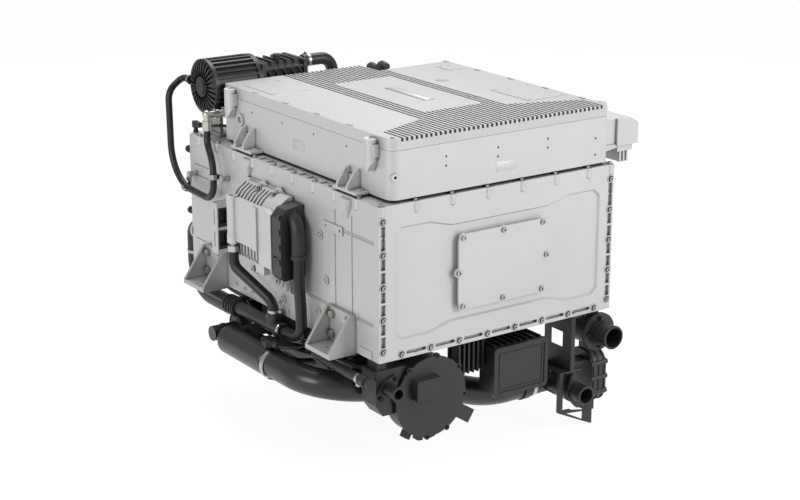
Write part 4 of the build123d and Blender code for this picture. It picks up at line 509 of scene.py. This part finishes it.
# --------------------------------------------------------------------------- dressed pieces
@dataclass
class CaseDress:
    """Bare plates, the vent cap and the plain raised bar on the converter case and lid.

    Attributes:
        lid_top: Height of the lid's plain panels.
        sink: How far the pieces on the lid reach into it.
        bar: Left, right, front and rear of the raised bar.
        bar_rise: Height of the bar above the lid.
        inlay_margin: From the bar's edge to its inlay.
        inlay_rise: Bottom and top of the inlay above the lid.
        front_plate: Left, right, bottom and top of the plate on the front.
        front_depth: Outer and inner face of that plate.
        left_plate: Front, rear, bottom and top of the plate on the left.
        left_depth: Outer and inner face of that plate.
        vent: Centre of the vent cap.
        collar: Profile of the vent's raised collar.
        cap: Profile of the stepped cap in it.
    """

    lid_top: float = 561.0
    sink: float = 0.4
    bar: tuple[float, float, float, float] = (363.0, 393.0, 315.0, 504.0)
    bar_rise: float = 2.4
    inlay_margin: float = 5.0
    inlay_rise: tuple[float, float] = (2.2, 3.2)
    front_plate: tuple[float, float, float, float] = (360.0, 426.0, 434.0, 459.0)
    front_depth: tuple[float, float] = (6.4, 7.2)
    left_plate: tuple[float, float, float, float] = (400.0, 455.0, 451.0, 477.0)
    left_depth: tuple[float, float] = (39.4, 40.2)
    vent: tuple[float, float] = (554.8, 504.2)
    collar: Profile = ((13.5, -0.4), (19.0, -0.4), (19.0, 1.0), (18.4, 1.6), (14.2, 1.6), (13.5, 1.0),
                       (13.5, -0.4))
    cap: Profile = ((0.0, -0.4), (11.4, -0.4), (11.4, 1.4), (10.8, 2.0), (7.4, 2.0), (7.0, 1.4),
                    (0.0, 1.4))

    def raised_bar(self) -> None:
        """The plain raised bar along the middle of the lid."""
        x0, x1, y0, y1 = self.bar
        mesh = bmesh.new()
        add_box(mesh, at(x0, y0, self.lid_top - self.sink),
                at(x1, y1, self.lid_top + self.bar_rise), round_mm=1.0, steps=3)
        settle("lid_bar", mesh, MACHINED_LID, PLATE_SMOOTH)
        low, high = self.inlay_rise
        gap = self.inlay_margin
        inlay = bmesh.new()
        add_box(inlay, at(x0 + gap, y0 + gap, self.lid_top + low),
                at(x1 - gap, y1 - gap, self.lid_top + high), round_mm=0.4, steps=2)
        settle("lid_bar_inlay", inlay, SAND_CAST, PLATE_SMOOTH)

    def bare_plates(self) -> None:
        """Two bare rating plates, one on the front and one on the left of the case."""
        x0, x1, z0, z1 = self.front_plate
        outer, inner = self.front_depth
        mesh = bmesh.new()
        add_box(mesh, at(x0, outer, z0), at(x1, inner, z1), round_mm=0.3, steps=2)
        settle("front_bare_plate", mesh, CAST_HOUSING, PLATE_SMOOTH)
        y0, y1, z0, z1 = self.left_plate
        outer, inner = self.left_depth
        mesh = bmesh.new()
        add_box(mesh, at(outer, y0, z0), at(inner, y1, z1), round_mm=0.3, steps=2)
        settle("left_bare_plate", mesh, CAST_HOUSING, PLATE_SMOOTH)

    def vent_cap(self) -> None:
        """Flush round vent in the lid, a stepped cap inside a raised collar."""
        mesh = bmesh.new()
        place = frame_to(at(*self.vent, self.lid_top), UP)
        add_turned(mesh, self.collar, place, steps=48)
        add_turned(mesh, self.cap, place, steps=48)
        settle("lid_vent_cap", mesh, MACHINED_LID)

    def build(self) -> None:
        """Builds all of it."""
        self.vent_cap()
        self.raised_bar()
        self.bare_plates()


@dataclass
class PortDress:
    """Rolled lips at the mouths of the coolant stubs.

    Attributes:
        ports: Name, mouth x, y, z and outer radius of each stub.
        lip: The lip's profile, as distance outside the stub and distance behind its mouth.
    """

    ports: tuple[tuple[str, float, float, float, float], ...] = (
        ("upper", 715.0, -60.0, -61.0, 31.0), ("lower", 641.0, -42.0, -216.0, 25.0))
    lip: Profile = ((-0.2, 0.2), (0.2, 0.0), (1.4, 1.0), (2.0, 3.2), (1.4, 5.6), (-0.2, 7.2),
                    (-0.2, 0.2))

    def build(self) -> None:
        """One turned lip per port, over the end of its stub."""
        for name, x, y, z, radius in self.ports:
            mesh = bmesh.new()
            profile = tuple((radius + out, along) for out, along in self.lip)
            add_turned(mesh, profile, frame_to(at(x, y, z), Vector((0, 1, 0))), steps=56)
            settle(f"{name}_port_lip", mesh, FILLED_NYLON)


@dataclass
class HoseClamp:
    """Worm-drive clamp: a band, its housing and its screw.

    Attributes:
        name: Name of the piece.
        centre: Middle of the band, in the model's frame.
        axis: Direction of the hose.
        radius: Outer radius of the hose.
        turn: Where on the band the screw sits, in radians.
        width: Width of the band.
        band: Inner and outer face of the band, outside the hose.
        housing: Bottom and top of the screw's housing, outside the hose.
        half_length: Half the housing's length round the hose.
        housing_share: Half the housing's width, as a share of the band's.
        screw_rise: From the hose to the screw's middle.
        screw: Profile of the screw.
    """

    name: str
    centre: Vector
    axis: Vector
    radius: float
    turn: float = 0.0
    width: float = 9.0
    band: tuple[float, float] = (0.1, 1.2)
    housing: tuple[float, float] = (0.8, 7.5)
    half_length: float = 8.0
    housing_share: float = 0.55
    screw_rise: float = 4.5
    screw: Profile = ((0.0, 5.5), (2.6, 5.5), (3.4, 4.8), (3.4, 0.0), (0.0, 0.0))

    def build(self) -> None:
        """Builds the clamp."""
        mesh = bmesh.new()
        place = frame_to(self.centre, self.axis) @ Matrix.Rotation(self.turn, 4, "Z")
        inner, outer = self.band
        add_ring(mesh, place, self.radius + inner, self.radius + outer, self.width)
        before = set(mesh.verts)
        low, high = self.housing
        half_width = self.width * self.housing_share
        add_box(mesh, Vector((self.radius + low, -self.half_length, -half_width)) * MM,
                Vector((self.radius + high, self.half_length, half_width)) * MM, round_mm=1.2, steps=2)
        bmesh.ops.transform(mesh, matrix=place, verts=[v for v in mesh.verts if v not in before])
        head = Matrix.Translation(Vector((self.radius + self.screw_rise, self.half_length, 0)) * MM)
        add_turned(mesh, self.screw, place @ head @ Matrix.Rotation(-pi / 2, 4, "X"), steps=6)
        settle(self.name, mesh, ZINC, CLAMP_SMOOTH)


@dataclass
class Plumbing:
    """Clamps on the hoses, on the rear pipe and round the silencer."""

    clamps: list[HoseClamp] = field(default_factory=lambda: [
        HoseClamp("outlet_clamp_a", at(352, 880, 580), Vector((1, 0, 0)), 17.5, 0.6),
        HoseClamp("outlet_clamp_b", at(435, 880, 446), Vector((0, 0, 1)), 17.5, 2.2),
        HoseClamp("riser_clamp", at(-28, 410, -27), Vector((0, 1, 0)), 15.4, 0.4),
        HoseClamp("branch_clamp", at(-28, 458, 14), Vector((0, 0, 1)), 14.4, 2.4),
        HoseClamp("rear_pipe_clamp", at(32, 988, 40), Vector((0, 0, 1)), 26.0, 1.2),
        HoseClamp("rear_pipe_clamp_b", at(32, 760, -75), Vector((0, 1, 0)), 26.0, 2.6),
        HoseClamp("silencer_clamp", at(-72, 388, -105), Vector((0, 1, 0)), 39.6, 1.9, 17.0),
    ])

    def build(self) -> None:
        """Builds every clamp."""
        for clamp in self.clamps:
            clamp.build()


@dataclass
class Underside:
    """What hangs under the left edge of the floor, and the switch on the silencer.

    Attributes:
        looms: Radius and control points of each loom or return hose.
        clip_places: Depth and height of each loom clip's middle.
        switch_blocks: Lowest corner, highest corner and edge radius of the switch's two blocks.
        switch_ribs: Number and spacing of the ribs on its plug.
        switch_nose: Profile of the switch's round nose.
        switch_lead: Control points of the switch's lead.
        head_place: Middle of the motor head's face.
        head: Profile of the motor head.
        head_fins: Number of fins round it.
        fin: Lowest and highest corner of one fin, on the head's own axis.
        head_terminal: Lowest and highest corner of the terminal block above it.
        tank_blocks: Lowest and highest corner of each chamber of the tank.
        tank_ribs: Front, rear and heights of the ribs on each chamber.
        tank_feet: Front of each foot under the floor.
    """

    looms: tuple[tuple[float, tuple[Point, ...]], ...] = (
        (8.5, ((30, 716, 4), (26, 690, -26), (18, 600, -52), (12, 500, -66), (12, 400, -60),
               (16, 290, -44), (22, 200, -30), (34, 150, -8), (36, 140, 6))),
        (11.0, ((50, 700, -14), (40, 640, -60), (33, 560, -88), (28, 470, -98), (26, 380, -92),
                (28, 300, -74), (30, 220, -50), (40, 160, -24), (52, 130, 4))),
        (6.5, ((34, 600, 4), (16, 560, -34), (4, 480, -44), (2, 380, -40), (6, 300, -26), (20, 240, 4))),
        (12.0, ((-4, 664, -98), (-4, 610, -102), (2, 550, -104), (24, 508, -106), (62, 500, -110))),
        (9.5, ((0, 652, -108), (0, 590, -120), (4, 520, -127), (12, 450, -130), (36, 404, -128),
               (62, 396, -126))),
        (10.0, ((22, 618, 4), (22, 650, -14), (22, 705, -16), (22, 760, -15), (24, 800, -12),
                (26, 816, 5))),
        (7.5, ((30, 480, 3), (34, 440, -60), (30, 380, -70), (24, 300, -62), (26, 190, -58),
               (44, 120, -60), (70, 70, -66))),
    )
    clip_places: tuple[tuple[float, float], ...] = ((236.0, -40.0), (352.0, -60.0), (520.0, -66.0))
    switch_blocks: tuple[tuple[Point, Point, float], ...] = (
        ((-86, 404, -66), (-58, 424, -46), 2.0), ((-84, 386, -58), (-60, 430, -38), 2.5))
    switch_ribs: tuple[int, float] = (5, 8.0)
    switch_nose: Profile = ((0, 0), (9, 0), (9, 18), (7.5, 20), (0, 20))
    switch_lead: tuple[Point, ...] = ((-72, 368, -48), (-70, 340, -46), (-40, 318, -44), (-8, 320, -40),
                                      (6, 330, -38))
    head_place: Point = (-24, 676, -86)
    head: Profile = ((0, 1.5), (13, 1.5), (14, 0), (22, 0), (23, 2), (27, 2), (28, 0), (31, 0),
                     (32, 1.5), (32, 27), (0, 27))
    head_fins: int = 16
    fin: tuple[Point, Point] = ((30.5, -1.5, 3.0), (34.5, 1.5, 26.0))
    head_terminal: tuple[Point, Point] = ((-20, 664, -58), (2, 690, -46))
    tank_blocks: tuple[tuple[Point, Point], ...] = (
        ((56, 206, -134), (174, 336, -6)), ((56, 300, -166), (174, 572, -94)))
    tank_ribs: tuple[tuple[float, float, tuple[float, ...]], ...] = (
        (220, 322, (-116.0, -88.0, -60.0, -32.0)), (340, 552, (-146.0, -118.0)))
    tank_feet: tuple[float, ...] = (222.0, 310.0)

    def run(self) -> None:
        """The looms and return hoses, each on its own line."""
        for number, (radius, line) in enumerate(self.looms):
            points = [at(*point) for point in line]
            spline_tube(f"floor_loom_{number}", points, radius, HOSE_RUBBER)

    def clips(self) -> None:
        """Dark loom clips screwed to the floor: a saddle, a web and a pad each."""
        mesh = bmesh.new()
        for y, z in self.clip_places:
            add_box(mesh, at(8, y - 7, z - 14), at(38, y + 7, z + 12), round_mm=3.0, steps=3)
            add_box(mesh, at(20, y - 6, z + 10), at(26, y + 6, 0.2), round_mm=0.6, steps=1)
            add_box(mesh, at(18, y - 8, -5), at(40, y + 8, 0.2), round_mm=1.0, steps=2)
        settle("floor_loom_clips", mesh, FILLED_NYLON)

    def switch(self) -> None:
        """Pressure switch with a ribbed plug, seated on top of the silencer."""
        mesh = bmesh.new()
        for low, high, edge in self.switch_blocks:
            add_box(mesh, at(*low), at(*high), round_mm=edge, steps=3)
        count, pitch = self.switch_ribs
        for step in range(count):
            y = 390 + pitch * step
            add_box(mesh, at(-86.5, y, -57), at(-57.5, y + 3, -36), round_mm=0.6, steps=2)
        add_turned(mesh, self.switch_nose, frame_to(at(-72, 386, -48), Vector((0, -1, 0))), steps=28)
        settle("silencer_switch", mesh, FILLED_NYLON)
        spline_tube("silencer_switch_lead", [at(*point) for point in self.switch_lead], 4.0,
                    HOSE_RUBBER)

    def pump_head(self) -> None:
        """Round finned motor head below the coolant pump, facing out to the left."""
        mesh = bmesh.new()
        place = frame_to(at(*self.head_place), Vector((1, 0, 0)))
        add_turned(mesh, self.head, place, steps=48)
        for step in range(self.head_fins):
            turn = place @ Matrix.Rotation(2 * pi * step / self.head_fins, 4, "Z")
            before = set(mesh.verts)
            add_box(mesh, Vector(self.fin[0]) * MM, Vector(self.fin[1]) * MM, round_mm=0.5, steps=1)
            bmesh.ops.transform(mesh, matrix=turn, verts=[v for v in mesh.verts if v not in before])
        low, high = self.head_terminal
        add_box(mesh, at(*low), at(*high), round_mm=2.0, steps=2)
        settle("coolant_pump_head", mesh, FILLED_NYLON, HEAD_SMOOTH)

    def tank(self) -> None:
        """Moulded condensate tank hung behind the duct, ribbed along its left face."""
        mesh = bmesh.new()
        for low, high in self.tank_blocks:
            add_box(mesh, at(*low), at(*high), round_mm=9.0, steps=4)
        for front, rear, heights in self.tank_ribs:
            for z in heights:
                add_box(mesh, at(53.5, front, z - 2), at(60, rear, z + 2), round_mm=1.2, steps=2)
        for y in self.tank_feet:
            add_box(mesh, at(70, y, -8), at(160, y + 20, 0.2), round_mm=1.5, steps=2)
        settle("condensate_tank", mesh, FILLED_NYLON)

    def build(self) -> None:
        """Builds all of it."""
        self.tank()
        self.pump_head()
        self.run()
        self.clips()
        self.switch()


@dataclass
class RearFittings:
    """Sensor on top of the end cover and the capped studs behind its left edge.

    Attributes:
        back: Depth of the end cover's rearmost face, that of its ribs.
        plug: Where the sensor stands on the end cover's top edge.
        base: Profile of the sensor's hexagonal base.
        lead: The lead's points, measured from the sensor's foot.
        stud_x: Distance of the studs from the left wall.
        stud_sink: From the rearmost face forward to the foot of the studs.
        stud_heights: Their heights.
        stud: Their profile.
    """

    back: float
    plug: Point = (22.0, 950.0, 400.0)
    base: Profile = ((0, -1), (9, -1), (9, 4), (7, 5), (7, 14), (0, 14))
    lead: tuple[Point, ...] = ((0, -28, 24), (0, -60, 26), (4, -100, 36), (20, -130, 40), (40, -135, 36))
    stud_x: float = 16.0
    stud_sink: float = 0.6
    stud_heights: tuple[float, ...] = (345.0, 258.0, 165.0)
    stud: Profile = ((0, 0), (11, 0), (11, 5), (8, 6), (8, 17), (10.5, 18), (10.5, 26), (9, 28), (0, 28))

    def sensor(self) -> None:
        """Upright sensor with an angled plug and its thin lead."""
        x, y, z = self.plug
        mesh = bmesh.new()
        add_turned(mesh, self.base, frame_to(at(x, y, z), UP), steps=6)
        add_box(mesh, at(x - 8, y - 9, z + 12), at(x + 8, y + 9, z + 32), round_mm=2.5, steps=3)
        add_box(mesh, at(x - 6.5, y - 30, z + 17), at(x + 6.5, y - 6, z + 31), round_mm=2.0, steps=3)
        settle("end_sensor", mesh, FILLED_NYLON)
        points = [at(x + right, y + back, z + up) for right, back, up in self.lead]
        spline_tube("end_sensor_lead", points, 4.2, HOSE_RUBBER)

    def studs(self) -> None:
        """Capped studs behind the left edge of the end cover."""
        mesh = bmesh.new()
        for z in self.stud_heights:
            place = frame_to(at(self.stud_x, self.back - self.stud_sink, z), Vector((0, 1, 0)))
            add_turned(mesh, self.stud, place, steps=20)
        settle("end_cover_studs", mesh, FILLED_NYLON)

    def build(self) -> None:
        """Builds all of it."""
        self.sensor()
        self.studs()


@dataclass(frozen=True)
class Lamp:
    """One square, soft area lamp.

    Attributes:
        name: Its name.
        place: Where it hangs, in metres.
        size: Side of the square in metres.
        power: Watts.
    """

    name: str
    place: Point
    size: float
    power: float

    def hang(self, aim: Vector) -> None:
        """Hangs the lamp.

        Args:
            aim: What it points at.
        """
        data = bpy.data.lights.new(self.name, "AREA")
        data.size = self.size
        data.energy = self.power
        obj = bpy.data.objects.new(self.name, data)
        obj.location = self.place
        obj.rotation_euler = (aim - Vector(self.place)).to_track_quat("-Z", "Y").to_euler()
        bpy.context.scene.collection.objects.link(obj)


@dataclass
class Studio:
    """Pale floor, white room, soft lamps and the camera.

    Attributes:
        camera: Where the camera stands, in metres.
        target: What it looks at.
        lens: Focal length on a 36 mm sensor.
        floor_gap: From the floor to the lowest piece, in metres.
        floor_half: Half the floor's side, in metres.
        floor_tone: Tone of the floor where it catches light and shadow.
        floor_glow: Strength of its own white.
        floor_share: Share of that white that the camera and reflections get.
        room_light: Strength of the white room as a lamp.
        middle: What the lamps point at.
        lamps: The lamps.
    """

    camera: Point = (-2.68915, -3.8974, 1.5687)
    target: Point = (-0.31217, -0.4825, 0.28879)
    lens: float = 80.43
    floor_gap: float = 0.002
    floor_half: float = 30.0
    floor_tone: float = 0.45
    floor_glow: float = 1.3
    floor_share: float = 0.7
    room_light: float = 0.5
    middle: Point = (0.0, 0.0, 0.2)
    lamps: tuple[Lamp, ...] = (
        Lamp("top_lamp", (0.7, 1.5, 3.3), 2.6, 106.0),
        Lamp("front_lamp", (1.6, -3.6, 1.8), 1.8, 88.0),
        Lamp("left_lamp", (-3.6, -0.6, 1.4), 1.6, 44.0),
    )

    def floor(self, lowest: float) -> None:
        """A wide pale floor just under the lowest piece.

        Args:
            lowest: Height of the lowest point of the object.
        """
        mesh = bmesh.new()
        bmesh.ops.create_grid(mesh, x_segments=1, y_segments=1, size=self.floor_half)
        bmesh.ops.translate(mesh, vec=(0, 0, lowest - self.floor_gap), verts=mesh.verts)
        data = bpy.data.meshes.new("floor")
        mesh.to_mesh(data)
        mesh.free()
        obj = bpy.data.objects.new("floor", data)
        bpy.context.scene.collection.objects.link(obj)
        mat = bpy.data.materials.new("pale_floor")
        mat.use_nodes = True
        tree = mat.node_tree
        tree.nodes.clear()
        path = add_node(tree, "ShaderNodeLightPath").outputs
        tone = (self.floor_tone, self.floor_tone, self.floor_tone, 1)
        soft = add_node(tree, "ShaderNodeBsdfDiffuse", {"Color": tone}).outputs[0]
        glow = add_node(tree, "ShaderNodeEmission", {
            "Color": (1, 1, 1, 1), "Strength": self.floor_glow}).outputs[0]
        seen = add_node(tree, "ShaderNodeMath", {
            0: path["Is Camera Ray"], 1: path["Is Glossy Ray"]}, operation="MAXIMUM").outputs[0]
        share = add_node(tree, "ShaderNodeMath", {
            0: seen, 1: self.floor_share}, operation="MULTIPLY").outputs[0]
        both = add_node(tree, "ShaderNodeMixShader", {0: share, 1: soft, 2: glow}).outputs[0]
        add_node(tree, "ShaderNodeOutputMaterial", {"Surface": both})
        data.materials.append(mat)
        obj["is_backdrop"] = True

    def world(self) -> None:
        """White room: seen by the camera and through glass at full strength, weaker as a lamp."""
        world = bpy.data.worlds.new("studio")
        bpy.context.scene.world = world
        world.use_nodes = True
        tree = world.node_tree
        tree.nodes.clear()
        path = add_node(tree, "ShaderNodeLightPath").outputs
        seen = add_node(tree, "ShaderNodeMath", {
            0: path["Is Camera Ray"], 1: path["Is Transmission Ray"]}, operation="MAXIMUM").outputs[0]
        level = add_node(tree, "ShaderNodeMapRange", {
            "Value": seen, "To Min": self.room_light, "To Max": 1.0}).outputs[0]
        back = add_node(tree, "ShaderNodeBackground", {
            "Color": (1, 1, 1, 1), "Strength": level}).outputs[0]
        add_node(tree, "ShaderNodeOutputWorld", {"Surface": back})

    def view(self) -> None:
        """The camera at the object's left front."""
        data = bpy.data.cameras.new("camera")
        data.lens = self.lens
        data.sensor_width = 36.0
        data.clip_end = 100.0
        obj = bpy.data.objects.new("camera", data)
        obj.location = self.camera
        aim = Vector(self.target) - Vector(self.camera)
        obj.rotation_euler = aim.to_track_quat("-Z", "Y").to_euler()
        bpy.context.scene.collection.objects.link(obj)
        bpy.context.scene.camera = obj

    def build(self, lowest: float) -> None:
        """Builds floor, room, lamps and camera.

        Args:
            lowest: Height of the lowest point of the object.
        """
        self.view()
        self.world()
        self.floor(lowest)
        for lamp in self.lamps:
            lamp.hang(Vector(self.middle))
        bpy.context.scene.view_settings.view_transform = "Standard"


def blacken(obj: bpy.types.Object, floor: float = -2.0, lid: float = 557.0) -> None:
    """Gives the screws under the floor and on the lid their black oxide.

    Args:
        obj: A node of screws.
        floor: Screws below this height, measured from the housing floor, are blackened.
        lid: So are the screws above this one.
    """
    obj.data.materials.append(material(BLACK_OXIDE))
    last = len(obj.data.materials) - 1
    for face in obj.data.polygons:
        height = (obj.matrix_world @ face.center).z / MM - HOUSING.z
        if height < floor or height > lid:
            face.material_index = last


def dress_nodes(nodes: dict[str, bpy.types.Object]) -> None:
    """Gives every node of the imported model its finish.

    Args:
        nodes: Node name to object.
    """
    for name, obj in nodes.items():
        finish = NODE_FINISH[name]
        for slot in obj.material_slots:
            slot.material = material(finish)
        if name.endswith("_screws"):
            blacken(obj)
        LOG.info("dressed %s in %s", name, finish.name)


def main() -> None:
    """Loads the module, dresses it and sets the studio round it."""
    logging.basicConfig(level=logging.INFO, format="%(message)s")
    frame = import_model()
    cad_box = [list(corner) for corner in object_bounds()]
    dress_nodes(frame["nodes"])
    CaseDress().build()
    PortDress().build()
    Plumbing().build()
    Underside().build()
    cover = frame["nodes"]["end_cover"]
    back = max((cover.matrix_world @ Vector(corner)).y for corner in cover.bound_box) / MM
    RearFittings(back - HOUSING.y).build()
    Studio().build(cad_box[0][2])


if __name__ == "__main__":
    main()
